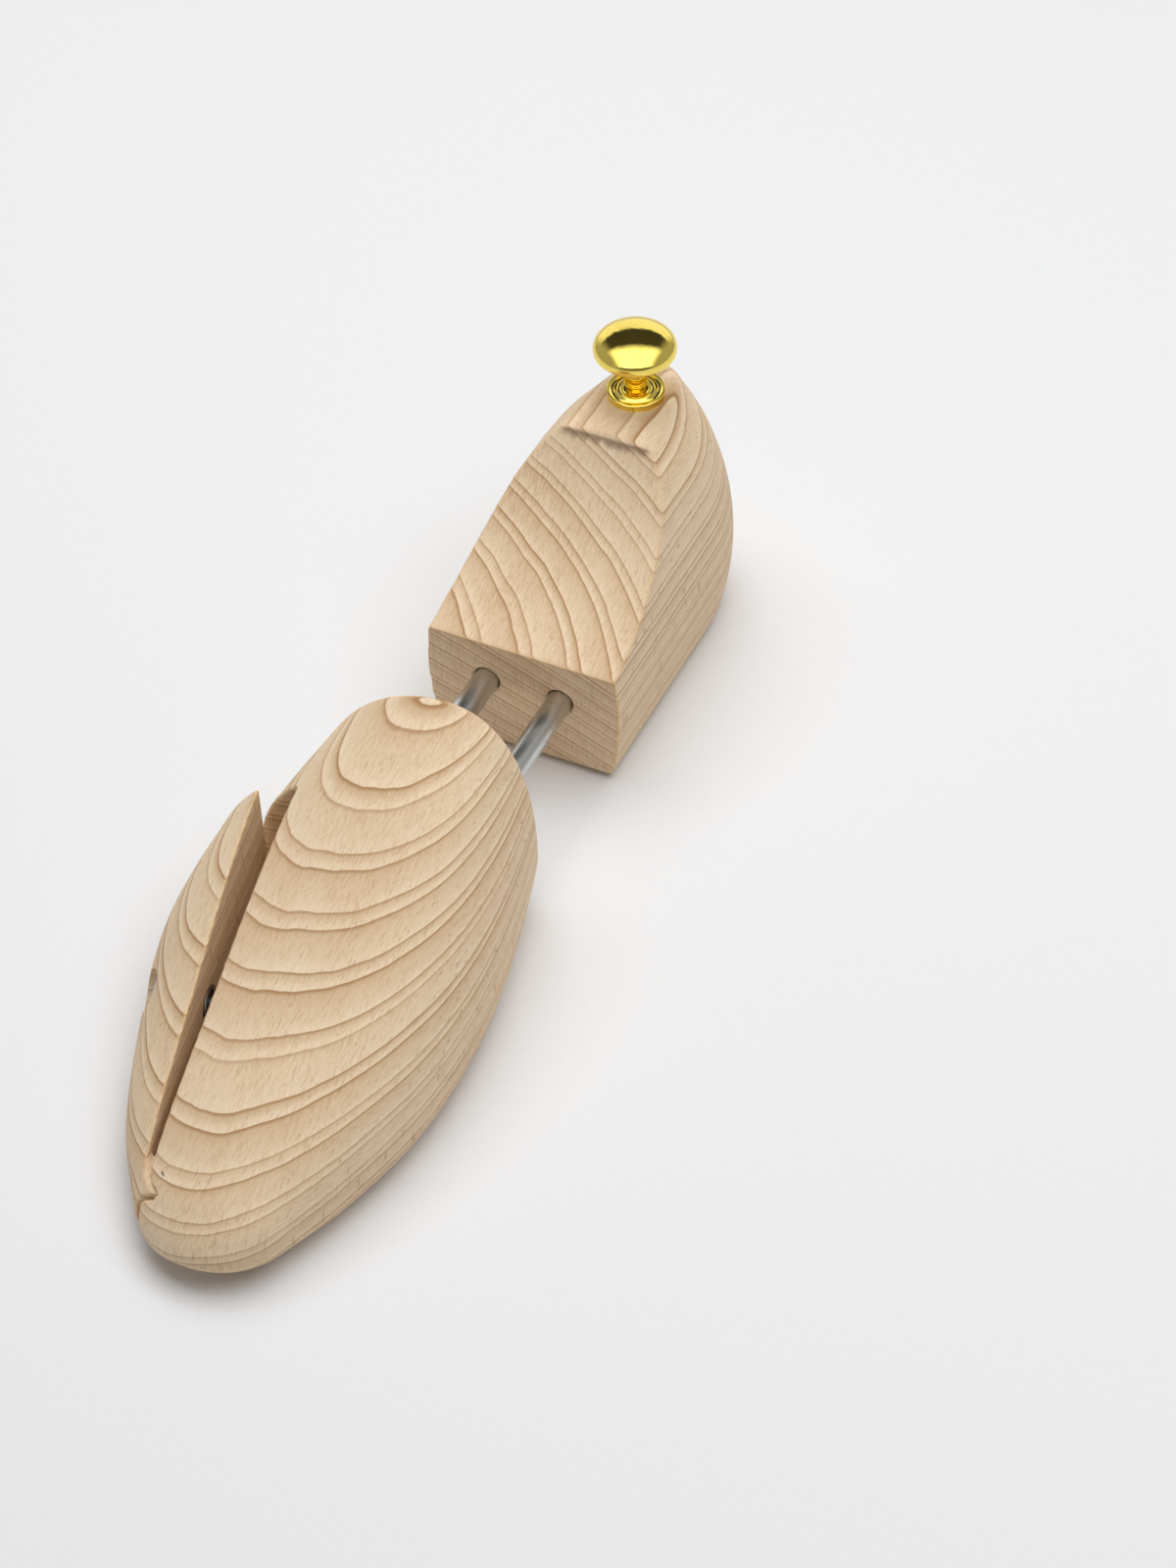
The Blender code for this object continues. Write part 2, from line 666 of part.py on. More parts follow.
def make_wing(material, hinge):
    """The wing is made closed, and the empty on the hinge holds it open."""
    region = prism("keep_wing", wing_outline(KERF / 2, -KERF / 2), -WALL_OVERRUN, HEEL_HEIGHT)
    tongue = prism(
        "keep_tongue",
        tongue_outline(TONGUE_HALF_WIDTH, 2 * TONGUE_HALF_WIDTH),
        TONGUE_BOTTOM,
        TONGUE_BOTTOM + TONGUE_THICKNESS,
    )
    wing = place_object("wing", fore_mesh("wing"))
    wing.data.transform(Matrix.Translation(-hinge.location))
    wing.parent = hinge
    boolean(region, tongue, "UNION")
    boolean(wing, region, "INTERSECT")
    pin_low = HINGE_PLACE + Vector((0, 0, TONGUE_BOTTOM - WALL_OVERRUN))
    pin_high = pin_low + Vector((0, 0, TONGUE_THICKNESS + 2 * WALL_OVERRUN))
    pocket_floor = half_open_face() + POCKET_DEPTH
    seat = pocket_floor + WING_WEB
    outside = seat + HEEL_HEIGHT
    holes = (
        as_cutter(rod("cut_hinge_tongue", HINGE_PIN_RADIUS + GAP, pin_low, pin_high)),
        bored_half_open("cut_wing_pocket", POCKET_RADIUS, -WALL_OVERRUN, pocket_floor),
        bored_half_open("cut_wing_hole", WING_HOLE_RADIUS, 0, seat + WALL_OVERRUN),
        bored_half_open("cut_counterbore", WASHER_RADIUS + COUNTERBORE_ROOM, seat, outside),
    )
    for helper in (as_cutter(region), as_cutter(tongue), *holes):
        hang(helper, hinge)
    for hole in holes:
        boolean(wing, hole)
    return finish(wing, material)


def make_hinge_pin(material):
    bottom = HINGE_PLACE + Vector((0, 0, HINGE_PIN_BOTTOM))
    top = bottom + Vector((0, 0, HINGE_PIN_LENGTH))
    return finish(rod("hinge_pin", HINGE_PIN_RADIUS, bottom, top), material)


def make_guide_bolt(material):
    """A headed bolt: its head is the wing's outer stop."""
    thread_end = -KERF / 2 - POCKET_DEPTH - BOLT_IN_BLOCK
    head = washer_start() + WASHER_THICKNESS + GAP - thread_end
    profile = [
        (0, head + BOLT_HEAD_THICKNESS),
        (BOLT_HEAD_RADIUS - 0.0008, head + BOLT_HEAD_THICKNESS),
        (BOLT_HEAD_RADIUS, head + BOLT_HEAD_THICKNESS - 0.0008),
        (BOLT_HEAD_RADIUS, head),
        (BOLT_RADIUS, head),
        (BOLT_RADIUS, 0),
        (0, 0),
    ]
    bolt = turned("guide_bolt", profile, bolt_point(thread_end), SPLIT_OUTWARD)
    return finish(bolt, material)


def washer_start():
    seat = half_open_face() + POCKET_DEPTH + WING_WEB
    return when_open(seat) + GAP + tilt_room(WASHER_RADIUS)


def make_bolt_washer(material):
    start = washer_start()
    ends = bolt_point(start), bolt_point(start + WASHER_THICKNESS)
    washer = sleeve("bolt_washer", BOLT_RADIUS + GAP, WASHER_RADIUS, *ends)
    return finish(washer, material)


def make_wing_spring(material):
    inner_seat = -KERF / 2 - POCKET_DEPTH + GAP
    outer_seat = when_open(half_open_face() + POCKET_DEPTH) - GAP
    outer_seat -= tilt_room(WING_COIL_RADIUS + WING_WIRE / 2)
    ends = bolt_point(inner_seat), bolt_point(outer_seat)
    spring = coil("wing_spring", WING_COIL_RADIUS, WING_WIRE, WING_TURNS, *ends)
    return finish(spring, material)


# Sprung tubes


def make_pin_cutter(name, x, y):
    ends = (x, y, -WALL_OVERRUN), (x, y, PIN_TOP + GAP)
    return as_cutter(rod(name, PIN_RADIUS + GAP, *ends))


def make_pin(name, x, y, material):
    """A plain steel pin driven up from the sole through the tube."""
    return finish(rod(name, PIN_RADIUS, (x, y, PIN_BOTTOM), (x, y, PIN_TOP)), material)


def along_tube(x, y):
    return Vector((x, y, TUBE_HEIGHT))


def make_outer_tube(side, x, steel):
    tube = sleeve(
        f"outer_tube_{side}",
        TUBE_BORE,
        OUTER_TUBE_RADIUS,
        along_tube(x, TUBE_FRONT_Y),
        along_tube(x, TUBE_REAR_Y),
    )
    boolean(tube, make_pin_cutter(f"cut_outer_tube_{side}", x, FORE_PIN_Y))
    return finish(tube, steel)


def make_tube_bush(side, x, nylon):
    """A flanged bush in the mouth of the outer tube: it guides the inner tube and stops its piston."""
    inner = INNER_TUBE_RADIUS + GAP
    outer = TUBE_BORE - GAP
    shoulder = BUSH_LENGTH + GAP
    profile = [
        (outer, shoulder),
        (outer, 0),
        (inner, 0),
        (inner, shoulder + BUSH_FLANGE),
        (OUTER_TUBE_RADIUS, shoulder + BUSH_FLANGE),
        (OUTER_TUBE_RADIUS, shoulder),
    ]
    start = along_tube(x, TUBE_REAR_Y - BUSH_LENGTH)
    bush = turned(f"tube_bush_{side}", profile, start, (0, 1, 0), closed=True)
    return finish(bush, nylon)


def make_tube_end_plug(side, x, nylon):
    """The plug that closes the front of the outer tube; the spring bears on it and the pin crosses it."""
    plug = rod(
        f"tube_end_plug_{side}",
        TUBE_BORE - GAP,
        along_tube(x, TUBE_FRONT_Y),
        along_tube(x, PLUG_REAR_Y),
    )
    boolean(plug, make_pin_cutter(f"cut_tube_end_plug_{side}", x, FORE_PIN_Y))
    return finish(plug, nylon)


def make_tube_spring(side, x, spring_steel):
    spring = coil(
        f"tube_spring_{side}",
        TUBE_COIL_RADIUS,
        TUBE_WIRE,
        TUBE_TURNS,
        along_tube(x, PLUG_REAR_Y + GAP),
        along_tube(x, PISTON_FRONT_Y - GAP),
    )
    return finish(spring, spring_steel)


def make_piston(side, x, nylon):
    """A cup pressed on the front of the inner tube, pushed by the spring and held in by the bush."""
    outer = TUBE_BORE - GAP
    socket = INNER_TUBE_RADIUS + GAP
    floor = PISTON_LENGTH - PISTON_SOCKET
    profile = [
        (0, floor),
        (socket, floor),
        (socket, PISTON_LENGTH),
        (outer, PISTON_LENGTH),
        (outer, 0),
        (0, 0),
    ]
    piston = turned(f"piston_{side}", profile, along_tube(x, PISTON_FRONT_Y), (0, 1, 0))
    return finish(piston, nylon)


def make_inner_tube(side, x, steel):
    front = PISTON_REAR_Y - PISTON_SOCKET + GAP
    tube = sleeve(
        f"inner_tube_{side}",
        INNER_TUBE_RADIUS - INNER_TUBE_WALL,
        INNER_TUBE_RADIUS,
        along_tube(x, front),
        along_tube(x, HEEL_FRONT_Y + INNER_TUBE_IN_HEEL),
    )
    boolean(tube, make_pin_cutter(f"cut_inner_tube_{side}", x, HEEL_PIN_Y))
    return finish(tube, steel)


# The whole tree


def make_empty(name, location, parent=None):
    empty = place_object(name, None, location)
    empty.rotation_mode = "XYZ"
    if parent:
        hang(empty, parent)
    return empty


def centre_on_footprint(tree):
    """Puts the middle of the footprint at the origin; the open wing makes it wider on the outer side."""
    graph = bpy.context.evaluated_depsgraph_get()
    points = []
    for obj in PARTS.objects:
        if obj.type != "EMPTY":
            solid = obj.evaluated_get(graph)
            points += [solid.matrix_world @ vertex.co for vertex in solid.to_mesh().vertices]
            solid.to_mesh_clear()
    for axis in (0, 1):
        spread = [point[axis] for point in points]
        tree.location[axis] = -(min(spread) + max(spread)) / 2


def main():
    beech = make_material("beech", (0.74, 0.56, 0.39), 0.62, 0)
    brass = make_material("polished_brass", (0.83, 0.62, 0.22), 0.12, 1)
    steel = make_material("bright_steel", (0.66, 0.66, 0.67), 0.25, 1)
    spring_steel = make_material("spring_steel", (0.42, 0.42, 0.43), 0.35, 1)
    nylon = make_material("nylon", (0.80, 0.79, 0.75), 0.45, 0)

    tree = make_empty("shoe_tree_stand", (0, 0, 0))
    slide = make_empty("tube_slide", (0, HEEL_FRONT_Y, TUBE_HEIGHT))
    hinge = make_empty("wing_hinge", HINGE_PLACE)

    heel_pieces = [
        make_heel_block(beech),
        make_knob(brass),
        make_rosette(brass),
        make_hanger_bolt(steel),
    ]
    make_forepart_block(beech)
    make_wing(beech, hinge)
    make_hinge_pin(steel)
    make_guide_bolt(steel)
    make_bolt_washer(steel)
    make_wing_spring(spring_steel)
    for side, sign in INWARD_SIDES.items():
        x = sign * TUBE_SPACING / 2
        make_outer_tube(side, x, steel)
        make_tube_bush(side, x, nylon)
        make_tube_end_plug(side, x, nylon)
        make_tube_spring(side, x, spring_steel)
        make_pin(f"forepart_pin_{side}", x, FORE_PIN_Y, steel)
        heel_pieces += [
            make_piston(side, x, nylon),
            make_inner_tube(side, x, steel),
            make_pin(f"heel_pin_{side}", x, HEEL_PIN_Y, steel),
        ]
    for piece in heel_pieces:
        hang(piece, slide)
        for modifier in piece.modifiers:
            if modifier.type == "BOOLEAN":
                hang(modifier.object, slide)
    hinge.rotation_euler.z = WING_OPEN
    for obj in [*PARTS.objects, *CUTTERS.objects]:
        if obj is not tree and obj.parent is None:
            hang(obj, tree)
    bpy.context.view_layer.update()
    centre_on_footprint(tree)


clear_scene()
PARTS = new_collection("shoe_tree")
CUTTERS = new_collection("shoe_tree_cutters")
main()
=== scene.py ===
"""A beech shoe tree with a brass knob, standing free on a white studio floor.

The toe points to -Y and the heel to +Y, the inner side of the foot is +X, and up is +Z.
Lengths are in metres, and in the materials in millimetres.
"""
import math

import bmesh
import bpy
import numpy as np
from mathutils import Euler, Matrix, Vector


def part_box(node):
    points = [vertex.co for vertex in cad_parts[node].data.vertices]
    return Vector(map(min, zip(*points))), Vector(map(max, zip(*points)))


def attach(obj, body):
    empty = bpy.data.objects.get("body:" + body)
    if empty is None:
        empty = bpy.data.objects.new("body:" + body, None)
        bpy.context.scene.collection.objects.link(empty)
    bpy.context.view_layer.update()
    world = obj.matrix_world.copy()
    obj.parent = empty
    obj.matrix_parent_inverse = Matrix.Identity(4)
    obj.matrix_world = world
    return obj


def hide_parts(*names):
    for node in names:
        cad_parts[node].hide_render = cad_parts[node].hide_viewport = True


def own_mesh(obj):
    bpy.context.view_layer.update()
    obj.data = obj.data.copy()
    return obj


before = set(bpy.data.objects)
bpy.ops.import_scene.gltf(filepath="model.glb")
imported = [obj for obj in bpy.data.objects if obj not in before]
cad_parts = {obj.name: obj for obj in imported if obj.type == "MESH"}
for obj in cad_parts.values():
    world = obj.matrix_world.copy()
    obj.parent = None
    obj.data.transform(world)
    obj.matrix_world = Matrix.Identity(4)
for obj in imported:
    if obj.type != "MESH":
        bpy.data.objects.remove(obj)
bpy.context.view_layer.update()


def node_middle(node, axis):
    low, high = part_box(node)
    return (low[axis] + high[axis]) / 2


# Places, from the frame
TREE_X = node_middle("knob", 0)
KNOB_Y = node_middle("knob", 1)
HEEL_FRONT_Y, HEEL_BACK_Y = (corner.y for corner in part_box("heel_block"))
HEEL_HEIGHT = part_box("heel_block")[1].z
TOE_Y, FORE_REAR_Y = (corner.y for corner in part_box("forepart_block"))
FORE_LENGTH = FORE_REAR_Y - TOE_Y
TUBE_Z = node_middle("inner_tube_medial", 2)
TUBE_X = {side: node_middle(f"inner_tube_{side}", 0) for side in ("medial", "lateral")}

# Heel block
HEEL_HALF_WIDTH = 0.0287
HEEL_TOP_HALF_WIDTH = 0.0155
HEEL_WIDEST_Z = 0.024
HEEL_FOOT_TAPER = 0.003
HEEL_LEAN = 0.009
HEEL_ROUND_LENGTH = 0.037
HEEL_MIDDLE_FORWARD = 0.005
HEEL_ROUND_PROFILE = 0.547
HEEL_SHOULDER = 0.0021
HEEL_SHOULDER_Z = 0.060
HEEL_TOP_EDGE = 0.0012
HEEL_TOP_RIM = 0.0705
HEEL_FOOT_EDGE = 0.004
# A roof over the top rim, for the crown to cut: its height and how far it is drawn in
HEEL_TOP_ROOF = (0.0716, 0.0085)
RIDGE_Y = HEEL_BACK_Y - 0.0445
RIDGE_SLOPE = math.radians(48)
RAMP_FRONT_HEIGHT = 0.0375
TOP_CROWN_RADIUS = 0.098
TOP_CROWN_HEIGHT = 0.0710
INNER_TUBE_RADIUS = 0.0036
HEEL_BORE_DEPTH = 0.0303
GAP = 0.0003

# Knob and rosette
KNOB_RADIUS = 0.0115
KNOB_WIDEST = 0.0169
KNOB_DOME = 0.0058
KNOB_HEAD_DEPTH = 0.0027
KNOB_EDGE = 0.0007
KNOB_NECK = 0.0027
KNOB_NECK_TOP = 0.0033
KNOB_NECK_LOW = 0.0029
KNOB_NECK_FLARE = 0.0016
KNOB_FOOT = 0.0018
ROSETTE_RADIUS = 0.0081
ROSETTE_RIM = 0.0026
ROSETTE_CREST_RADIUS = 0.0049
ROSETTE_CREST = 0.0031
ROSETTE_CREST_WIDTH = 0.0007
ROSETTE_CREST_ROUND = 0.0006
ROSETTE_SEAT_RADIUS = 0.0033
ROSETTE_SEAT = 0.0020
ROSETTE_LIP = (0.0037, 0.0022)
ROSETTE_DIP = 0.0007
ROSETTE_BEAD = 0.0004
ROSETTE_FOOT = -0.0006

# Forepart: share of its length from the toe, inner and outer half-width, crown and sole height
FORE_STATIONS = (
    (0.00, 0.0215, 0.0115, 0.0160, 0.0050),
    (0.09, 0.0245, 0.0165, 0.0210, 0.0035),
    (0.20, 0.0310, 0.0265, 0.0275, 0.0010),
    (0.40, 0.0385, 0.0370, 0.0370, -0.0008),
    (0.60, 0.0395, 0.0435, 0.0470, -0.0010),
    (0.80, 0.0350, 0.0405, 0.0570, -0.0004),
    (1.00, 0.0275, 0.0340, 0.0640, 0.0035),
)
NOSE_LENGTH = 0.014
NOSE_LEAST = 0.2
NOSE_X = 0.004
NOSE_Z = 0.009
FORE_WIDEST_SHARE = 0.30
FORE_CROWN_OFFSET = 0.004
FORE_CROWN_PROFILE = 0.5168
FORE_SOLE_PROFILE = 0.6652
FORE_REAR_EDGE = 0.0025
FORE_BORE_RADIUS = 0.0060

# Wing
SPLIT_BEGIN = 0.008
SPLIT_END = 0.122
SPLIT_FRONT = Vector((TREE_X - 0.012, TOE_Y + SPLIT_BEGIN, 0))
SPLIT_REAR = Vector((TREE_X - 0.027, TOE_Y + SPLIT_END, 0))
SPLIT_RUN = (SPLIT_REAR - SPLIT_FRONT).normalized()
SPLIT_OUT = Vector((-SPLIT_RUN.y, SPLIT_RUN.x, 0))
KERF = 0.0016
WING_OPEN = math.radians(4.5)
HINGE = Vector((TREE_X - 0.007, TOE_Y + 0.017, 0))
HINGE_PIN_RADIUS = 0.0015
TONGUE_BOTTOM = 0.0085
TONGUE_THICKNESS = 0.008
TONGUE_HALF_WIDTH = 0.0055
BOLT_FROM_TOE = 0.070
BOLT_SHARE = (BOLT_FROM_TOE - SPLIT_BEGIN) / (SPLIT_END - SPLIT_BEGIN)
BOLT_PLACE = SPLIT_FRONT.lerp(SPLIT_REAR, BOLT_SHARE) + Vector((0, 0, 0.018))
BOLT_RADIUS = 0.0020
BOLT_HOLE_RADIUS = 0.0032
POCKET_RADIUS = 0.0053
POCKET_DEPTH = 0.005
COUNTERBORE_RADIUS = 0.0065
COUNTERBORE_REACH = 0.06
WING_WEB = 0.0047
THREAD_DEPTH = 0.018
HINGE_HOLE_TOP = 0.0195
TONGUE_ROOM = 0.0012

# Tubes, bushes and cross pins
INNER_TUBE_BORE = 0.0028
OUTER_TUBE_BORE = 0.0050
OUTER_TUBE_RADIUS = 0.0057
TUBE_EDGE = 0.00025
BUSH_BORE = 0.0039
BUSH_RADIUS = 0.0047
BUSH_NOSE = 0.0004
BUSH_NOSE_LENGTH = 0.0006
FLANGE_RADIUS = 0.0057
FLANGE_SEAT = 0.0083
FLANGE_EDGE = 0.0004
FLANGE_ROOM = 0.0001
CROSS_PIN_RADIUS = 0.0015
CROSS_PIN_HOLE_TOP = 0.0313

# Guide bolt and its washer
HEAD_EDGE = 0.0003
HEAD_CROWN = 0.0008
HEAD_SIDE_TOP = 0.0022
HEAD_TOP = 0.00305
HEAD_RADIUS = 0.0042
BOLT_POINT = 0.0004
DRIVER_SLOT = (0.0011, 0.012, 0.0024)
DRIVER_SLOT_HEIGHT = 0.0029
DRIVER_SLOT_TURN = math.radians(35)
WASHER_RADIUS = 0.0052
WASHER_THICKNESS = 0.001
WASHER_EDGE = 0.0002

# Springs: radius of the wire's middle, wire thickness, turns
TUBE_COIL = (0.0038, 0.0010, 11)
WING_COIL = (0.0043, 0.0008, 6)

# Studio: the far wall's and the side wall's directions, and what polished metal sees from the far horizon
# over the zenith to the near one, as degrees and brightness
STUDIO_FAR = (-0.430, 0.903, 0.0)
STUDIO_SIDE = (0.903, 0.430, 0.0)
STUDIO_BANDS = ((0, 1.1), (33, 1.1), (34, 0.05), (66, 0.06), (82, 2.0), (158, 2.0), (160, 0.20), (180, 0.16))
STUDIO_SIDE_WALL = (0.42, 0.42, 0.42)
STUDIO_FILL = (0.195, 0.198, 0.205)
STUDIO_RAGGED = 0.07
CAMERA_PLACE = (0.36089, -0.60791, 0.74130)
CAMERA_ANGLES = (44.699, 1.721, 25.446)
CAMERA_LENS = 88.04

ROUND_STEPS = 96
BORE_STEPS = 64
BRASS_STEPS = 160
WOOD_VOXEL = 0.00062
SHORTEST_EDGE = 0.0002

# How far a cutter runs past the face it opens, and the chamfer at a bore's mouth
OVERRUN = 0.002
MOUTH_OVERRUN = 0.003
MOUTH_CHAMFER = 0.0006


# Modelling by hand: select, start from a primitive, shape it, apply


def only(*pieces):
    bpy.ops.object.select_all(action="DESELECT")
    for piece in pieces:
        piece.select_set(True)
    bpy.context.view_layer.objects.active = pieces[0]


def start(name, add, **how):
    """A new piece from a primitive, its place already in its mesh."""
    bpy.ops.object.select_all(action="DESELECT")
    add(**how)
    piece = bpy.context.object
    piece.name = piece.data.name = name
    bpy.ops.object.transform_apply(location=True, rotation=True, scale=True)
    return piece


def edit(piece):
    only(piece)
    bpy.ops.object.mode_set(mode="EDIT")


def leave():
    bpy.ops.object.mode_set(mode="OBJECT")


def pick(piece, test, kind="VERT"):
    """Selects the corners, edges or faces of the piece in edit mode whose middle passes a test."""
    bpy.ops.mesh.select_mode(type=kind)
    bpy.ops.mesh.select_all(action="DESELECT")
    mesh = bmesh.from_edit_mesh(piece.data)
    items = {"VERT": mesh.verts, "EDGE": mesh.edges, "FACE": mesh.faces}[kind]
    for item in items:
        middle = item.co if kind == "VERT" else sum((v.co for v in item.verts), Vector()) / len(item.verts)
        if test(middle):
            item.select_set(True)
    mesh.select_flush_mode()
    bmesh.update_edit_mesh(piece.data)


def grow(step):
    bpy.ops.mesh.extrude_region_move(TRANSFORM_OT_translate={"value": step})


def resize(factors, centre):
    bpy.ops.transform.resize(value=factors, center_override=centre)


def drawn(name, points, closed=True):
    """A line drawn corner by corner, by extruding one vertex."""
    piece = start(name, bpy.ops.mesh.primitive_plane_add, size=0.001, location=points[0])
    edit(piece)
    bpy.ops.mesh.merge(type="CENTER")
    for last, point in zip(points, points[1:]):
        step = Vector(point) - Vector(last)
        bpy.ops.mesh.extrude_vertices_move(TRANSFORM_OT_translate={"value": step})
    if closed:
        pick(piece, lambda v: min((v - Vector(points[0])).length, (v - Vector(points[-1])).length) < 1e-7)
        bpy.ops.mesh.edge_face_add()
    leave()
    return piece


def tidy_mesh():
    bpy.ops.mesh.select_all(action="SELECT")
    bpy.ops.mesh.remove_doubles(threshold=1e-6)
    bpy.ops.mesh.normals_make_consistent(inside=False)


def turned(name, profile, base=(0, 0, 0), axis=(0, 0, 1), closed=False, steps=ROUND_STEPS):
    """A profile of (radius, height) points spun about an axis from base."""
    base, axis = Vector(base), Vector(axis).normalized()
    out = axis.orthogonal().normalized()
    points = [base + out * radius + axis * height for radius, height in profile]
    piece = drawn(name, points, closed)
    edit(piece)
    bpy.ops.mesh.select_all(action="SELECT")
    bpy.ops.mesh.spin(steps=steps, angle=2 * math.pi, center=base, axis=axis)
    tidy_mesh()
    leave()
    return piece


def slab(name, outline, bottom, top):
    """A flat outline in X and Y, filled and raised."""
    piece = drawn(name, [(x, y, bottom) for x, y in outline])
    edit(piece)
    bpy.ops.mesh.select_all(action="SELECT")
    bpy.ops.mesh.edge_face_add()
    grow((0, 0, top - bottom))
    tidy_mesh()
    leave()
    return piece


def rod(name, radius, begin, end, flare=0.0):
    """A round cutter between two points; flare widens its second end, which runs past a bore's mouth."""
    begin, end = Vector(begin), Vector(end)
    length = (end - begin).length
    profile = [(0, 0), (radius, 0), (radius, length)]
    if flare:
        mouth = length - MOUTH_OVERRUN
        profile = [(0, 0), (radius, 0), (radius, mouth - flare), (radius + flare, mouth)]
        profile.append((radius + flare, length))
    profile.append((0, length))
    return turned(name, profile, begin, end - begin, steps=BORE_STEPS)


def apply_modifier(piece, kind, **settings):
    modifier = piece.modifiers.new(kind.lower(), kind)
    for key, value in settings.items():
        setattr(modifier, key, value)
    only(piece)
    bpy.ops.object.modifier_apply(modifier=modifier.name)


def cut(piece, *tools, operation="DIFFERENCE"):
    for tool in tools:
        apply_modifier(piece, "BOOLEAN", operation=operation, solver="EXACT", object=tool)
        bpy.data.objects.remove(tool)


def joined(*tools):
    only(*tools)
    bpy.ops.object.join()
    return tools[0]


def copy_of(piece, name):
    only(piece)
    bpy.ops.object.duplicate()
    twin = bpy.context.object
    twin.name = twin.data.name = name
    return twin


def sand(piece, voxel=WOOD_VOXEL, strokes=4):
    """An even skin with its arrises taken off, as sanding leaves wood."""
    apply_modifier(piece, "REMESH", mode="VOXEL", voxel_size=voxel)
    apply_modifier(piece, "SMOOTH", factor=0.5, iterations=strokes)


def shade(piece, angle=None):
    only(piece)
    if angle:
        bpy.ops.object.shade_smooth_by_angle(angle=math.radians(angle))
    else:
        bpy.ops.object.shade_smooth()


def mark_arrises(piece):
    """Writes how sharply the skin turns at each vertex, in 1/mm: above 0 on an arris, below 0 in a corner.

    Writes how far it faces sideways too, so that the fibres can be drawn along the skin.
    """
    mesh = piece.data
    count = len(mesh.vertices)
    places = np.empty(count * 3, np.float32)
    mesh.vertices.foreach_get("co", places)
    normals = np.empty(count * 3, np.float32)
    mesh.vertices.foreach_get("normal", normals)
    ends = np.empty(len(mesh.edges) * 2, np.int32)
    mesh.edges.foreach_get("vertices", ends)
    places, normals, ends = places.reshape(-1, 3), normals.reshape(-1, 3), ends.reshape(-1, 2)
    total, weight = np.zeros(count), np.zeros(count)
    for near, far in ((0, 1), (1, 0)):
        step = places[ends[:, far]] - places[ends[:, near]]
        length = np.maximum(np.linalg.norm(step, axis=1), SHORTEST_EDGE)
        bend = -2 * (normals[ends[:, near]] * step).sum(1) / length**2
        np.add.at(total, ends[:, near], bend / 1000)
        np.add.at(weight, ends[:, near], 1)
    turn = total / np.maximum(weight, 1)
    for _ in range(2):
        spread = np.zeros(count)
        for near, far in ((0, 1), (1, 0)):
            np.add.at(spread, ends[:, near], turn[ends[:, far]])
        turn = 0.5 * turn + 0.5 * spread / np.maximum(weight, 1)
    skin_bend = mesh.attributes.new("arris", "FLOAT", "POINT")
    skin_bend.data.foreach_set("value", turn.astype(np.float32))
    sideways = mesh.attributes.new("sideways", "FLOAT", "POINT")
    sideways.data.foreach_set("value", np.abs(normals[:, 0]).astype(np.float32))


# Materials


class Value:
    """A shader socket; an expression on it adds its Math nodes."""

    def __init__(self, finish, socket):
        self.finish = finish
        self.socket = socket

    def maths(self, operation, *others, clamp=False):
        settings = {"operation": operation, "use_clamp": clamp}
        return self.finish.node("Math", settings, others)

    def __add__(self, other):
        return self.maths("ADD", self, other)

    def __sub__(self, other):
        return self.maths("SUBTRACT", self, other)

    def __rsub__(self, other):
        return self.maths("SUBTRACT", other, self)

    def __mul__(self, other):
        return self.maths("MULTIPLY", self, other)

    def __truediv__(self, other):
        return self.maths("DIVIDE", self, other)

    __radd__ = __add__
    __rmul__ = __mul__

    def sine(self):
        return self.maths("SINE", self)

    def absolute(self):
        return self.maths("ABSOLUTE", self)

    def angle(self, beside):
        """The angle whose rise is this and whose run is beside, in radians."""
        return self.maths("ARCTAN2", self, beside)

    def part(self):
        """What is left over the last whole number."""
        return self.maths("FRACT", self)

    def whole(self):
        return self.maths("FLOOR", self)

    def root(self):
        return self.maths("SQRT", self)

    def step(self, low, high):
        """0 below low, 1 above high, and smooth between."""
        settings = {"interpolation_type": "SMOOTHSTEP"}
        return self.finish.node("MapRange", settings, {"Value": self, "From Min": low, "From Max": high})


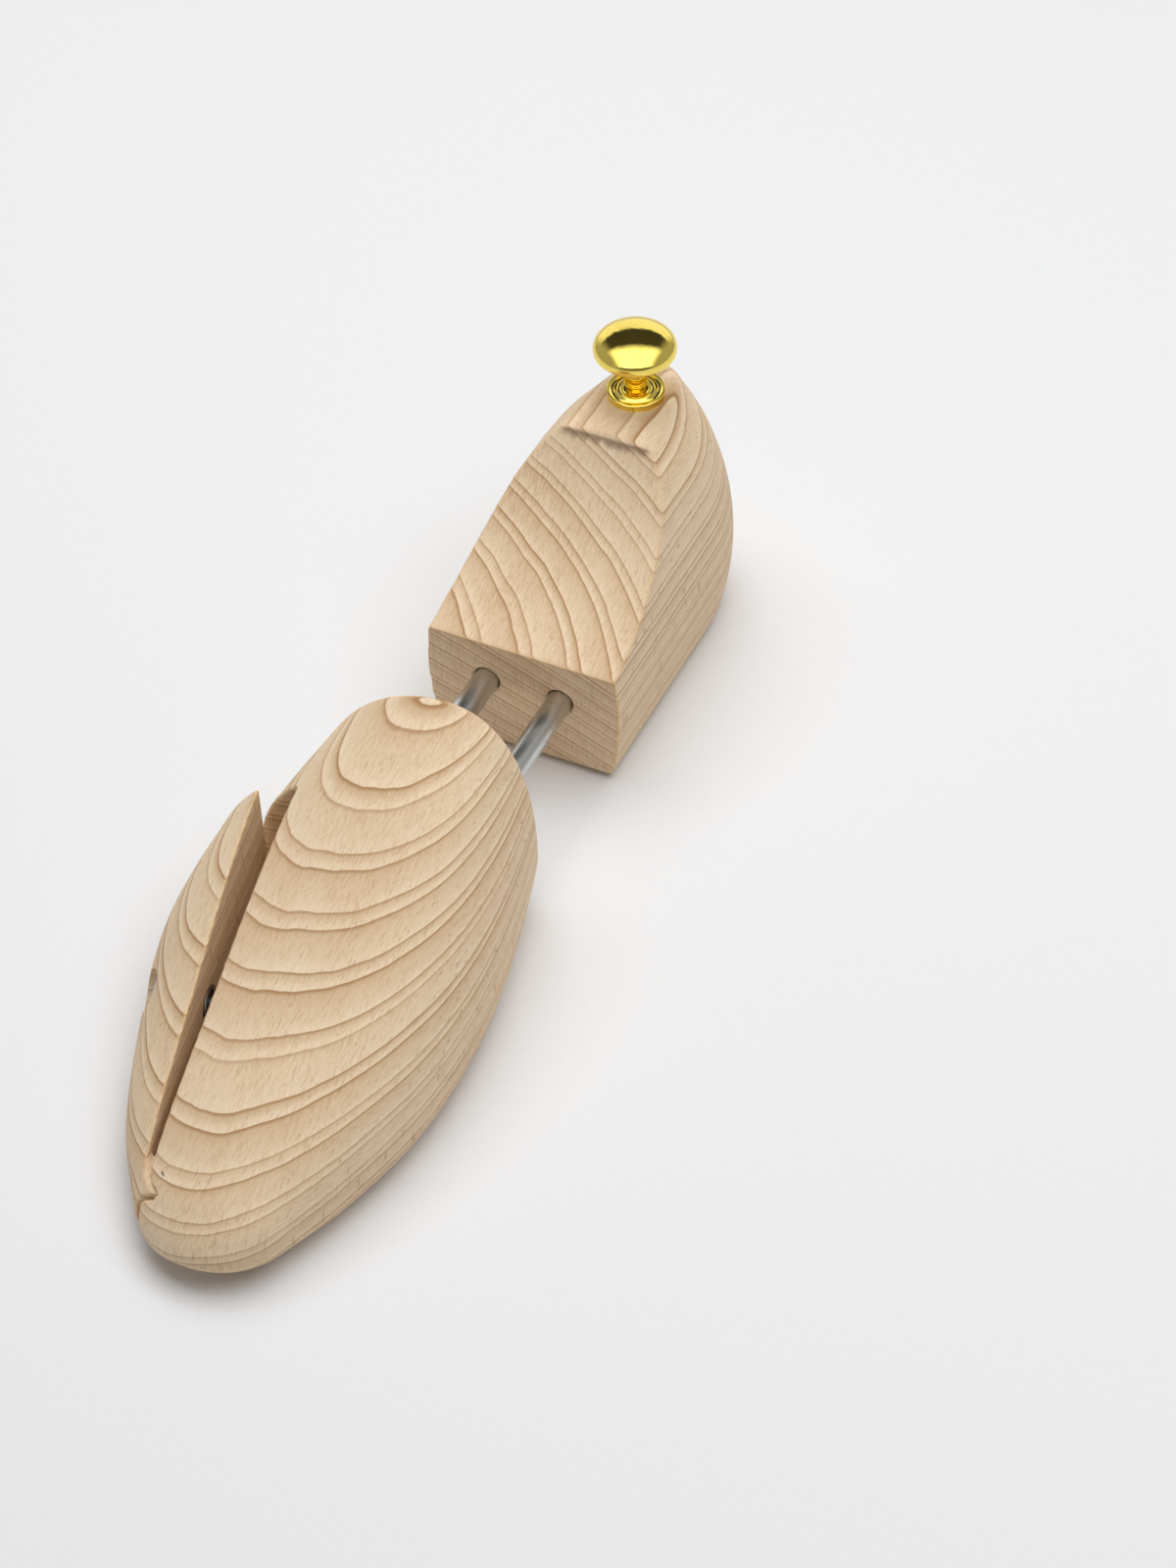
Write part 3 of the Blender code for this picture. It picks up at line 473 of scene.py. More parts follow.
class Nodes:
    """A node tree, and the nodes that are added to it."""

    def __init__(self, tree):
        self.tree = tree

    def node(self, kind, settings=None, inputs=(), output=0):
        """Adds a node: its settings first, then the values or links of its sockets."""
        made = self.tree.nodes.new("ShaderNode" + kind)
        for key, value in (settings or {}).items():
            if key == "stops":
                ramp = made.color_ramp
                while len(ramp.elements) < len(value):
                    ramp.elements.new(0.5)
                for element, (place, colour) in zip(ramp.elements, value):
                    element.position = place
                    element.color = (*colour, 1)
            else:
                setattr(made, key, value)
        pairs = inputs.items() if isinstance(inputs, dict) else enumerate(inputs)
        for key, value in pairs:
            self.put(made.inputs[key], value)
        return Value(self, made.outputs[output])

    def put(self, socket, value):
        if isinstance(value, Value):
            self.tree.links.new(value.socket, socket)
        else:
            socket.default_value = value

    def axes(self, vector):
        split = self.node("SeparateXYZ", inputs=[vector])
        return [Value(self, socket) for socket in split.socket.node.outputs]

    def vector(self, x, y, z):
        return self.node("CombineXYZ", inputs=[x, y, z])

    def stretched(self, vector, x, y, z):
        """The vector with one unit along each axis worth this many millimetres."""
        factors = (1 / x, 1 / y, 1 / z)
        return self.node("VectorMath", {"operation": "MULTIPLY"}, [vector, factors])

    def noise(self, vector, detail=2.0, roughness=0.5, scale=1.0, seed=0.0, distortion=0.0):
        settings = {"noise_dimensions": "4D"}
        sockets = {
            "Vector": vector,
            "W": seed,
            "Scale": scale,
            "Detail": detail,
            "Roughness": roughness,
            "Distortion": distortion,
        }
        return self.node("TexNoise", settings, sockets)

    def cells(self, vector, output="Distance", seed=0.0):
        settings = {"voronoi_dimensions": "4D", "feature": "F1"}
        return self.node("TexVoronoi", settings, {"Vector": vector, "W": seed, "Scale": 1.0}, output)

    def ramp(self, value, *stops):
        return self.node("ValToRGB", {"stops": stops}, [value])

    def mix(self, factor, near, far, blend="MIX"):
        """Between two colours."""
        settings = {"data_type": "RGBA", "blend_type": blend}
        made = self.node("Mix", settings, {0: factor}, output=2)
        for socket, colour in zip(made.socket.node.inputs[6:8], (near, far)):
            self.put(socket, colour if isinstance(colour, Value) else (*colour, 1))
        return made

    def bump(self, height, depth, normal=None, strength=1.0):
        """Height from 0 to 1 as a relief, depth in metres."""
        sockets = {"Strength": strength, "Distance": depth, "Height": height}
        if normal:
            sockets["Normal"] = normal
        return self.node("Bump", inputs=sockets)


class Finish(Nodes):
    """A material and its nodes."""

    def __init__(self, name, **constants):
        self.material = bpy.data.materials.new(name)
        self.material.use_nodes = True
        super().__init__(self.material.node_tree)
        self.shader = self.tree.nodes["Principled BSDF"]
        for key, value in constants.items():
            self.shader.inputs[key.replace("_", " ")].default_value = value

    def feed(self, **values):
        for key, value in values.items():
            self.put(self.shader.inputs[key.replace("_", " ")], value)

    def place(self, centre=(0, 0, 0), turn=(0, 0, 0)):
        """Object coordinates in millimetres from centre, turned about it."""
        turning = Euler(turn).to_matrix()
        shift = turning @ Vector(centre) * -1000
        objects = self.node("TexCoord", output="Object")
        sockets = {"Vector": objects, "Location": shift, "Rotation": turn, "Scale": (1000, 1000, 1000)}
        return self.node("Mapping", {"vector_type": "POINT"}, sockets)


def beech(name, centre=(0, 0, 0), turn=0.0, seed=0.0, tilt=0.385, ridge=False):
    """Raw sanded beech, the trunk along Y: thin ring lines, short dark ray flecks and fine fibres."""
    finish = Finish(name, Specular_IOR_Level=0.32)
    place = finish.place(centre, (0, 0, turn))
    x, y, z = finish.axes(place)

    slow = finish.noise(finish.stretched(place, 34, 120, 34), detail=2, seed=seed)
    ripple = finish.noise(finish.stretched(place, 7, 26, 7), detail=2, seed=seed + 3)
    depth = z + tilt * x + x * x / 900 + 3.0 * (slow - 0.5) + 0.6 * (ripple - 0.5)
    growth = depth / 2.9 - 0.26 * (1.083 * depth + 6.17).sine() + 0.44
    ring = growth.part()
    year = finish.node("TexWhiteNoise", {"noise_dimensions": "1D"}, {"W": growth.whole() + seed})
    late = ring.step(0.05, 1.0) * (1 - ring.step(0.96, 1.0))
    line = ring.step(0.76, 0.94) * (1 - ring.step(0.955, 1.0))
    strength = 0.45 + 0.55 * year

    flecks = finish.cells(finish.stretched(place, 0.62, 3.4, 9.0), seed=seed)
    fleck = 1 - flecks.step(0.16, 0.34)
    wide = finish.cells(finish.stretched(place, 1.1, 5.5, 16.0), seed=seed + 5)
    wide = 1 - wide.step(0.12, 0.30)
    sideways = finish.node("Attribute", {"attribute_name": "sideways"}, output="Fac").step(0.45, 0.80)
    above = finish.noise(finish.stretched(place, 0.40, 4.0, 3.2), detail=3, roughness=0.62, seed=seed)
    beside = finish.noise(finish.stretched(place, 3.2, 4.0, 0.40), detail=3, roughness=0.62, seed=seed + 2)
    fibre = above + sideways * (beside - above)
    above = finish.noise(finish.stretched(place, 0.20, 1.3, 1.0), detail=2, roughness=0.7, seed=seed + 7)
    beside = finish.noise(finish.stretched(place, 1.0, 1.3, 0.20), detail=2, roughness=0.7, seed=seed + 8)
    pores = above + sideways * (beside - above)
    cloud = finish.noise(finish.stretched(place, 16, 55, 16), detail=3, seed=seed + 9)
    blush = finish.noise(finish.stretched(place, 40, 90, 40), detail=2, seed=seed + 12)

    tone = 0.16 + 0.42 * cloud + 1.25 * (fibre - 0.5) + 0.95 * (pores - 0.5)
    tone = tone + 0.10 * late
    colour = finish.ramp(
        tone,
        (0.10, (0.900, 0.745, 0.545)),
        (0.45, (0.835, 0.640, 0.435)),
        (0.75, (0.640, 0.450, 0.275)),
        (1.00, (0.470, 0.300, 0.165)),
    )
    colour = finish.mix(0.62 * late * (0.4 + 0.6 * year), colour, (0.480, 0.275, 0.115))
    colour = finish.mix(0.72 * line * strength, colour, (0.350, 0.165, 0.050))
    colour = finish.mix(0.42 * fleck, colour, (0.470, 0.275, 0.150))
    colour = finish.mix(0.16 * wide, colour, (0.500, 0.300, 0.170))
    colour = finish.mix(0.22 * blush.step(0.50, 0.72), colour, (0.760, 0.500, 0.330))

    skin_bend = finish.node("Attribute", {"attribute_name": "arris"}, output="Fac")
    # Lighter golden arrises: partly rubbed wear on the edges, partly a painted highlight where they catch the
    # light
    edge = skin_bend.step(0.12, 0.60)
    colour = finish.mix(0.55 * edge, colour, (0.800, 0.540, 0.270))
    # Painted shade: darker in hollow corners and recesses, where the skin turns inward
    corner = (0 - skin_bend).step(0.10, 0.55)
    colour = finish.mix(0.45 * corner, colour, (0.300, 0.175, 0.095))
    if ridge:
        # Painted shade: a dark ragged strip just under the ridge, where the steep top of the ramp falls into
        # shade
        ragged = finish.noise(finish.stretched(place, 2.2, 60, 60), detail=3, seed=seed + 21)
        below = (RIDGE_Y * 1000 - centre[1] * 1000) - y
        ridge_shade_strip = below.step(-0.4, 0.3) * (1 - (below + 2.6 * (ragged - 0.5)).step(0.3, 2.0))
        ridge_shade_strip = ridge_shade_strip * (1 - x.absolute().step(11.5, 14.2))
        colour = finish.mix(0.70 * ridge_shade_strip, colour, (0.160, 0.085, 0.050))

    relief = 0.50 * fibre + 0.35 * pores - 0.18 * fleck
    normal = finish.bump(relief, 0.00007)
    soft = finish.noise(finish.stretched(place, 9, 14, 9), detail=1, seed=seed + 30)
    normal = finish.bump(soft, 0.00035, normal)
    roughness = 0.56 + 0.14 * fibre + 0.10 * cloud - 0.10 * edge
    finish.feed(Base_Color=colour, Roughness=roughness, Normal=normal)
    return finish.material


def brass(name, seed=0.0):
    """Polished brass: turning marks round the axis, hairline scratches and a few specks."""
    finish = Finish(name, Metallic=1.0)
    place = finish.place((TREE_X, KNOB_Y, HEEL_HEIGHT))
    x, y, z = finish.axes(place)
    radius = (x * x + y * y).root()
    turning = finish.noise(finish.vector(radius * 6, z * 6, 0.0), detail=2, seed=seed)
    wave = finish.noise(finish.stretched(place, 1.7, 1.7, 1.7), detail=3, roughness=0.6, seed=seed + 2)
    hair = finish.noise(finish.stretched(place, 0.16, 6.0, 6.0), detail=1, seed=seed + 4)
    cross = finish.noise(finish.stretched(place, 5.0, 0.18, 5.0), detail=1, seed=seed + 6)
    lines = (hair - 0.5).absolute().step(0.0, 0.03) * (cross - 0.5).absolute().step(0.0, 0.03)
    pits = finish.cells(finish.stretched(place, 1.5, 1.5, 1.5), seed=seed)
    pit = 1 - pits.step(0.06, 0.12)
    tarnish = finish.noise(finish.stretched(place, 5, 5, 5), detail=4, roughness=0.65, seed=seed + 8)
    colour = finish.ramp(
        tarnish,
        (0.30, (0.920, 0.740, 0.170)),
        (0.55, (0.900, 0.695, 0.145)),
        (0.75, (0.800, 0.580, 0.120)),
    )
    colour = finish.mix(0.5 * pit, colour, (0.35, 0.25, 0.09))
    roughness = 0.004 + 0.02 * tarnish + 0.03 * (1 - lines) + 0.25 * pit
    normal = finish.bump(turning, 0.0000003)
    normal = finish.bump(wave, 0.000004, normal)
    normal = finish.bump(lines, 0.000001, normal)
    finish.feed(Base_Color=colour, Roughness=roughness, Normal=normal)
    return finish.material


def drawn_steel(name, centre=(0, 0, 0), colour=(0.62, 0.62, 0.61), rough=0.20, seed=0.0):
    """Bright drawn steel: fine lines lengthwise, faint rub marks and light stains."""
    finish = Finish(name, Metallic=1.0)
    place = finish.place(centre)
    lines = finish.noise(finish.stretched(place, 0.16, 40, 0.16), detail=3, roughness=0.6, seed=seed)
    rub = finish.noise(finish.stretched(place, 6, 0.22, 6), detail=2, seed=seed + 2)
    stain = finish.noise(finish.stretched(place, 4, 9, 4), detail=4, roughness=0.6, seed=seed + 4)
    shade_of = finish.mix(0.45 * stain.step(0.45, 0.75), colour, (0.44, 0.43, 0.40))
    roughness = rough + 0.12 * lines + 0.16 * stain.step(0.48, 0.72) + 0.06 * rub
    normal = finish.bump(lines, 0.000012)
    normal = finish.bump(rub, 0.000006, normal)
    finish.feed(Base_Color=shade_of, Roughness=roughness, Normal=normal)
    return finish.material


def spring_steel(name):
    """Oiled spring wire: dark drawn steel with a brown bloom."""
    finish = Finish(name, Metallic=1.0)
    place = finish.place()
    bloom = finish.noise(finish.stretched(place, 1.6, 1.6, 1.6), detail=4, roughness=0.65)
    grit = finish.noise(finish.stretched(place, 0.2, 0.2, 0.2), detail=2, seed=3)
    colour = finish.ramp(
        bloom,
        (0.35, (0.36, 0.36, 0.37)),
        (0.60, (0.26, 0.25, 0.24)),
        (0.80, (0.22, 0.15, 0.10)),
    )
    normal = finish.bump(grit, 0.000012)
    finish.feed(Base_Color=colour, Roughness=0.26 + 0.22 * bloom + 0.10 * grit, Normal=normal)
    return finish.material


def nylon(name):
    """Turned natural nylon: milky, with faint lathe lines and a little grey rubbed in from the tube."""
    finish = Finish(name, Subsurface_Weight=0.15, Subsurface_Radius=(0.0010, 0.0009, 0.0007))
    place = finish.place()
    lathe = finish.noise(finish.stretched(place, 20, 0.12, 20), detail=2)
    grime = finish.noise(finish.stretched(place, 2.4, 2.4, 2.4), detail=4, roughness=0.65, seed=5)
    grain = finish.noise(finish.stretched(place, 0.35, 0.35, 0.35), detail=2, seed=8)
    colour = finish.ramp(
        grime,
        (0.35, (0.80, 0.775, 0.70)),
        (0.60, (0.74, 0.705, 0.62)),
        (0.80, (0.47, 0.44, 0.38)),
    )
    normal = finish.bump(0.7 * lathe + 0.3 * grain, 0.00003)
    finish.feed(Base_Color=colour, Roughness=0.36 + 0.18 * grime + 0.08 * grain, Normal=normal)
    return finish.material


# Wood


def quarter(steps):
    """A rounded edge of radius 1: pairs of how far it is drawn in, from 1 down, and how far along."""
    angles = [math.pi / 2 * i / steps for i in range(steps)]
    return [(1 - math.sin(a), 1 - math.cos(a)) for a in angles]


def heel_level(z, drawn_in):
    """Half-width, back and front of the heel block at a height."""
    if z < HEEL_WIDEST_Z:
        lean = HEEL_FOOT_TAPER * (1 - z / HEEL_WIDEST_Z) ** 2
        half = HEEL_HALF_WIDTH - lean
    else:
        rise = (z - HEEL_WIDEST_Z) / (HEEL_HEIGHT - HEEL_WIDEST_Z)
        share = 1 - (HEEL_TOP_HALF_WIDTH / HEEL_HALF_WIDTH) ** 2
        half = HEEL_HALF_WIDTH * math.sqrt(1 - share * rise**2)
        above = max(0, (z - HEEL_SHOULDER_Z) / (HEEL_HEIGHT - HEEL_SHOULDER_Z))
        half -= HEEL_SHOULDER * above**1.3
        lean = HEEL_LEAN * rise**2
    return half - drawn_in, HEEL_BACK_Y - lean - drawn_in, HEEL_FRONT_Y + drawn_in


def heel_levels():
    low, high = HEEL_FOOT_EDGE, HEEL_TOP_RIM - HEEL_TOP_EDGE
    levels = [(HEEL_FOOT_EDGE * along, HEEL_FOOT_EDGE * inset) for inset, along in quarter(4)]
    levels += [(low + (high - low) * i / 12, 0) for i in range(13)]
    for along, inset in quarter(4)[1:]:
        levels.append((HEEL_TOP_RIM - HEEL_TOP_EDGE * along, HEEL_TOP_EDGE * inset))
    levels += [(HEEL_TOP_RIM, HEEL_TOP_EDGE), HEEL_TOP_ROOF]
    return levels


def heel_blank():
    """A plate with a round back, raised level by level; each level is widened and leaned as it goes."""
    levels = heel_levels()
    half, back, front = heel_level(*levels[0])
    blank = start("heel_block_beech", bpy.ops.mesh.primitive_plane_add, size=2)
    edit(blank)
    resize((1, 0.5, 1), (0, 1, 0))
    pick(blank, lambda v: v.y > 0.5)
    bpy.ops.mesh.bevel(
        offset=1,
        segments=20,
        profile=HEEL_ROUND_PROFILE,
        affect="VERTICES",
        clamp_overlap=False,
    )
    bpy.ops.mesh.select_all(action="SELECT")
    bpy.ops.mesh.remove_doubles(threshold=0.001)
    resize((half, HEEL_ROUND_LENGTH, 1), (0, 0, 0))
    bpy.ops.transform.translate(value=(TREE_X, back - HEEL_ROUND_LENGTH, 0))
    pick(blank, lambda v: v.y < back - HEEL_ROUND_LENGTH + 1e-5)
    grow((0, front - (back - HEEL_ROUND_LENGTH), 0))
    bpy.ops.mesh.select_all(action="SELECT")
    bpy.ops.mesh.dissolve_limited(angle_limit=math.radians(0.05), use_dissolve_boundaries=False)
    bpy.ops.mesh.select_all(action="SELECT")
    last_z = 0
    for z, drawn_in in levels[1:]:
        wide, far, near = heel_level(z, drawn_in)
        grow((0, 0, z - last_z))
        resize((wide / half, 1, 1), (TREE_X, 0, 0))
        middle = (back + front) / 2 - HEEL_MIDDLE_FORWARD
        pick(blank, lambda v: v.z > z - 1e-5 and v.y > middle)
        bpy.ops.transform.translate(value=(0, far - back, 0))
        pick(blank, lambda v: v.z > z - 1e-5 and v.y <= middle)
        bpy.ops.transform.translate(value=(0, near - front, 0))
        pick(blank, lambda v: v.z > z - 1e-5)
        half, back, front, last_z = wide, far, near, z
    tidy_mesh()
    leave()
    return blank


def ramp_drum():
    run = RIDGE_Y - HEEL_FRONT_Y
    fall = HEEL_HEIGHT - RAMP_FRONT_HEIGHT
    steep, level = math.sin(RIDGE_SLOPE), math.cos(RIDGE_SLOPE)
    radius = (run**2 + fall**2) / (2 * (run * steep - fall * level))
    centre = Vector((TREE_X, RIDGE_Y - radius * steep, HEEL_HEIGHT + radius * level))
    return start(
        "drum",
        bpy.ops.mesh.primitive_cylinder_add,
        vertices=256,
        radius=radius,
        depth=4 * HEEL_HALF_WIDTH,
        location=centre,
        rotation=(0, math.pi / 2, 0),
    )


def cross_pin_hole(x, y):
    """A cutter for a pin driven up from the sole."""
    return rod("pin", CROSS_PIN_RADIUS, (x, y, -OVERRUN), (x, y, CROSS_PIN_HOLE_TOP))


def make_heel_block():
    block = heel_blank()
    crown = start(
        "crown",
        bpy.ops.mesh.primitive_cylinder_add,
        vertices=256,
        radius=TOP_CROWN_RADIUS,
        depth=0.3,
        location=(TREE_X, (HEEL_FRONT_Y + HEEL_BACK_Y) / 2, TOP_CROWN_HEIGHT - TOP_CROWN_RADIUS),
        rotation=(math.pi / 2, 0, 0),
    )
    cut(block, crown, operation="INTERSECT")
    cut(block, ramp_drum())
    sand(block, strokes=2)
    bores, pins = [], []
    for side, x in TUBE_X.items():
        mouth = (x, HEEL_FRONT_Y - MOUTH_OVERRUN, TUBE_Z)
        deep = (x, HEEL_FRONT_Y + HEEL_BORE_DEPTH, TUBE_Z)
        bores.append(rod("bore", INNER_TUBE_RADIUS + GAP, deep, mouth, flare=MOUTH_CHAMFER))
        pins.append(cross_pin_hole(x, node_middle(f"heel_pin_{side}", 1)))
    cut(block, joined(*pins), joined(*bores))
    shade(block, 40)
    mark_arrises(block)
    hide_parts("heel_block")
    return block


def station(from_toe):
    """The forepart's sizes at a distance from the toe, by smooth curves through the stations."""
    share = from_toe / FORE_LENGTH
    last = len(FORE_STATIONS) - 1
    k = max(i for i in range(last) if FORE_STATIONS[i][0] <= share)
    near, far = FORE_STATIONS[k], FORE_STATIONS[k + 1]
    before, after = FORE_STATIONS[max(k - 1, 0)], FORE_STATIONS[min(k + 2, last)]
    span = far[0] - near[0]
    t = (share - near[0]) / span
    sizes = []
    for i in range(1, 5):
        leave_rate = (far[i] - before[i]) / (far[0] - before[0]) * span
        reach_rate = (after[i] - near[i]) / (after[0] - near[0]) * span
        sizes.append(
            near[i] * (2 * t**3 - 3 * t**2 + 1)
            + leave_rate * (t**3 - 2 * t**2 + t)
            + far[i] * (3 * t**2 - 2 * t**3)
            + reach_rate * (t**3 - t**2)
        )
    return sizes


def fore_section(from_toe, drawn_in, nose):
    """Middle x and z of a section, and its reach inward, outward, up and down from there."""
    inner, outer, crown, sole = station(from_toe)
    crown, sole = crown - drawn_in, sole + drawn_in
    widest = sole + FORE_WIDEST_SHARE * (crown - sole)
    reach = [inner - drawn_in, outer - drawn_in, crown - widest, widest - sole]
    middle_x = TREE_X + NOSE_X * (1 - nose)
    middle_z = NOSE_Z + (widest - NOSE_Z) * nose
    return middle_x, middle_z, [size * nose for size in reach]


def fore_sections():
    sections = []
    for i in range(1, 9):
        along = 1 - math.cos(math.pi / 2 * i / 9)
        share = math.sqrt(1 - (1 - along) ** 2)
        sections.append((NOSE_LENGTH * along, 0, share))
    body = FORE_LENGTH - FORE_REAR_EDGE - NOSE_LENGTH
    sections += [(NOSE_LENGTH + body * i / 24, 0, 1) for i in range(25)]
    for inset, along in reversed(quarter(3)):
        sections.append((FORE_LENGTH - FORE_REAR_EDGE * along, FORE_REAR_EDGE * inset, 1))
    return sections


def fore_blank():
    """A rounded square grown section by section from the nose to the rear face, then leaned and cut flat."""
    blank = start("fore_blank", bpy.ops.mesh.primitive_plane_add, size=2, rotation=(math.pi / 2, 0, 0))
    edit(blank)
    for side, profile in ((1, FORE_CROWN_PROFILE), (-1, FORE_SOLE_PROFILE)):
        pick(blank, lambda v: v.z * side > 0.99 and abs(v.x) > 0.99)
        bpy.ops.mesh.bevel(
            offset=1,
            segments=12,
            profile=profile,
            affect="VERTICES",
            clamp_overlap=False,
        )
    bpy.ops.mesh.select_all(action="SELECT")
    bpy.ops.mesh.remove_doubles(threshold=0.001)
    bpy.ops.mesh.select_all(action="SELECT")
    x, z, reach = 0.0, 0.0, [1, 1, 1, 1]
    last_y = None
    for from_toe, drawn_in, nose in fore_sections():
        next_x, next_z, sizes = fore_section(from_toe, drawn_in, nose)
        y = TOE_Y + from_toe
        if last_y is None:
            bpy.ops.transform.translate(value=(next_x, y, next_z))
        else:
            grow((next_x - x, y - last_y, next_z - z))
        x, z, last_y = next_x, next_z, y
        tests = (
            (0, lambda v: v.x > x + 1e-7),
            (0, lambda v: v.x < x - 1e-7),
            (2, lambda v: v.z > z + 1e-7),
            (2, lambda v: v.z < z - 1e-7),
        )
        for (axis, test), size, last_size in zip(tests, sizes, reach):
            pick(blank, lambda v: v.y > y - 1e-6 and test(v))
            factors = [1, 1, 1]
            factors[axis] = size / last_size
            resize(factors, (x, y, z))
        reach = sizes
        pick(blank, lambda v: v.y > y - 1e-6)
    tidy_mesh()
    leave()
    lean_crown(blank)
    apply_modifier(blank, "SUBSURF", levels=1, render_levels=1)
    edit(blank)
    bpy.ops.mesh.select_all(action="SELECT")
    bpy.ops.mesh.bisect(
        plane_co=(0, 0, 0),
        plane_no=(0, 0, 1),
        use_fill=True,
        clear_inner=True,
        threshold=1e-7,
    )
    tidy_mesh()
    leave()
    return blank


def lean_crown(blank):
    """Leans the crown to the inner side, more the higher it stands."""
    for vertex in blank.data.vertices:
        from_toe = min(max(vertex.co.y - TOE_Y, 0), FORE_LENGTH * 0.9999)
        nose = math.sqrt(1 - max(0, 1 - from_toe / NOSE_LENGTH) ** 2)
        nose = max(nose, NOSE_LEAST)
        _, widest, (_, _, reach_up, _) = fore_section(from_toe, 0, nose)
        rise = max(0, (vertex.co.z - widest) / reach_up)
        vertex.co.x += FORE_CROWN_OFFSET * rise**2 * nose


def wing_plan(outward, end_shift):
    """The plan of the wing's side of the split: outward moves the split face, end_shift the rear shoulder."""
    far_x, end_y = -0.1, SPLIT_REAR.y + end_shift
    front = SPLIT_FRONT - SPLIT_RUN * 0.04 + SPLIT_OUT * outward
    near = SPLIT_REAR + SPLIT_OUT * outward
    rear = near + SPLIT_RUN * ((end_y - near.y) / SPLIT_RUN.y)
    return [(front.x, front.y), (rear.x, rear.y), (far_x, rear.y), (far_x, front.y)]


def tongue_plan(half_width, reach_out):
    """The plan of the hinge tongue: round about the pin, and straight out into the wing."""
    turns = 16
    plan = []
    for i in range(turns + 1):
        angle = math.pi * i / turns - math.pi / 2
        plan.append((HINGE.x + half_width * math.cos(angle), HINGE.y + half_width * math.sin(angle)))
    plan.append((HINGE.x - reach_out, HINGE.y + half_width))
    plan.append((HINGE.x - reach_out, HINGE.y - half_width))
    return plan


def bolt_point(outward):
    return BOLT_PLACE + SPLIT_OUT * outward


def make_forepart_block(blank):
    block = copy_of(blank, "forepart_block_beech")
    split = slab("split", wing_plan(-KERF / 2, KERF / 2), -0.01, 0.1)
    slot = slab(
        "slot",
        tongue_plan(TONGUE_HALF_WIDTH + TONGUE_ROOM, 2 * TONGUE_HALF_WIDTH),
        TONGUE_BOTTOM - GAP,
        TONGUE_BOTTOM + TONGUE_THICKNESS + GAP,
    )
    cut(block, split, slot)
    sand(block)
    bores, pins = [], []
    front_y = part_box("outer_tube_medial")[0].y
    for side, x in TUBE_X.items():
        deep = (x, front_y - GAP, TUBE_Z)
        mouth = (x, FORE_REAR_Y + MOUTH_OVERRUN, TUBE_Z)
        bores.append(rod("bore", FORE_BORE_RADIUS, deep, mouth, flare=MOUTH_CHAMFER))
        pins.append(cross_pin_hole(x, node_middle(f"forepart_pin_{side}", 1)))
    hinge_top = HINGE + Vector((0, 0, HINGE_HOLE_TOP))
    pins.append(rod("pin", HINGE_PIN_RADIUS + GAP, HINGE - Vector((0, 0, OVERRUN)), hinge_top))
    pocket_floor = -KERF / 2 - POCKET_DEPTH
    pins.append(rod("pocket", POCKET_RADIUS, bolt_point(pocket_floor), bolt_point(OVERRUN)))
    thread_end = pocket_floor - THREAD_DEPTH - GAP
    thread = rod("thread", BOLT_RADIUS + GAP, bolt_point(thread_end), bolt_point(OVERRUN))
    cut(block, joined(*bores), joined(*pins), thread)
    shade(block, 40)
    mark_arrises(block)
    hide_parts("forepart_block")
    return block


def swung(angle):
    """Turned about the hinge."""
    return Matrix.Translation(HINGE) @ Matrix.Rotation(angle, 4, "Z") @ Matrix.Translation(-HINGE)


def make_wing(blank):
    """The wing is made closed and then swung open."""
    wing = copy_of(blank, "wing_beech")
    region = slab("region", wing_plan(KERF / 2, -KERF / 2), -0.01, 0.1)
    tongue = slab(
        "tongue",
        tongue_plan(TONGUE_HALF_WIDTH, 2 * TONGUE_HALF_WIDTH),
        TONGUE_BOTTOM,
        TONGUE_BOTTOM + TONGUE_THICKNESS,
    )
    cut(region, tongue, operation="UNION")
    cut(wing, region, operation="INTERSECT")
    sand(wing)
    half_open = swung(-WING_OPEN / 2)
    along = (BOLT_PLACE - HINGE).dot(SPLIT_RUN)
    floor = KERF / 2 + along * math.sin(WING_OPEN / 2) + POCKET_DEPTH
    seat = floor + WING_WEB
    pocket = rod("pocket", POCKET_RADIUS, half_open @ bolt_point(-OVERRUN), half_open @ bolt_point(floor))
    begin, end = half_open @ bolt_point(0), half_open @ bolt_point(seat)
    far = seat + COUNTERBORE_REACH
    profile = [(0, 0), (BOLT_HOLE_RADIUS, 0), (BOLT_HOLE_RADIUS, seat)]
    profile += [(COUNTERBORE_RADIUS, seat), (COUNTERBORE_RADIUS, far), (0, far)]
    hole = turned("hole", profile, begin, end - begin, steps=72)
    pin = rod("pin", HINGE_PIN_RADIUS + GAP, HINGE, HINGE + Vector((0, 0, 0.03)))
    cut(wing, joined(pocket, pin), hole)
    wing.data.transform(swung(WING_OPEN))
    wing.data.update()
    shade(wing, 40)
    mark_arrises(wing)
    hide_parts("wing")
    return wing


# Brass


def arc(centre, radii, begin, end, steps):
    """Points of an ellipse about a centre, angles in degrees from outward."""
    angles = [math.radians(begin + (end - begin) * i / steps) for i in range(steps + 1)]
    return [(centre[0] + radii[0] * math.cos(a), centre[1] + radii[1] * math.sin(a)) for a in angles]


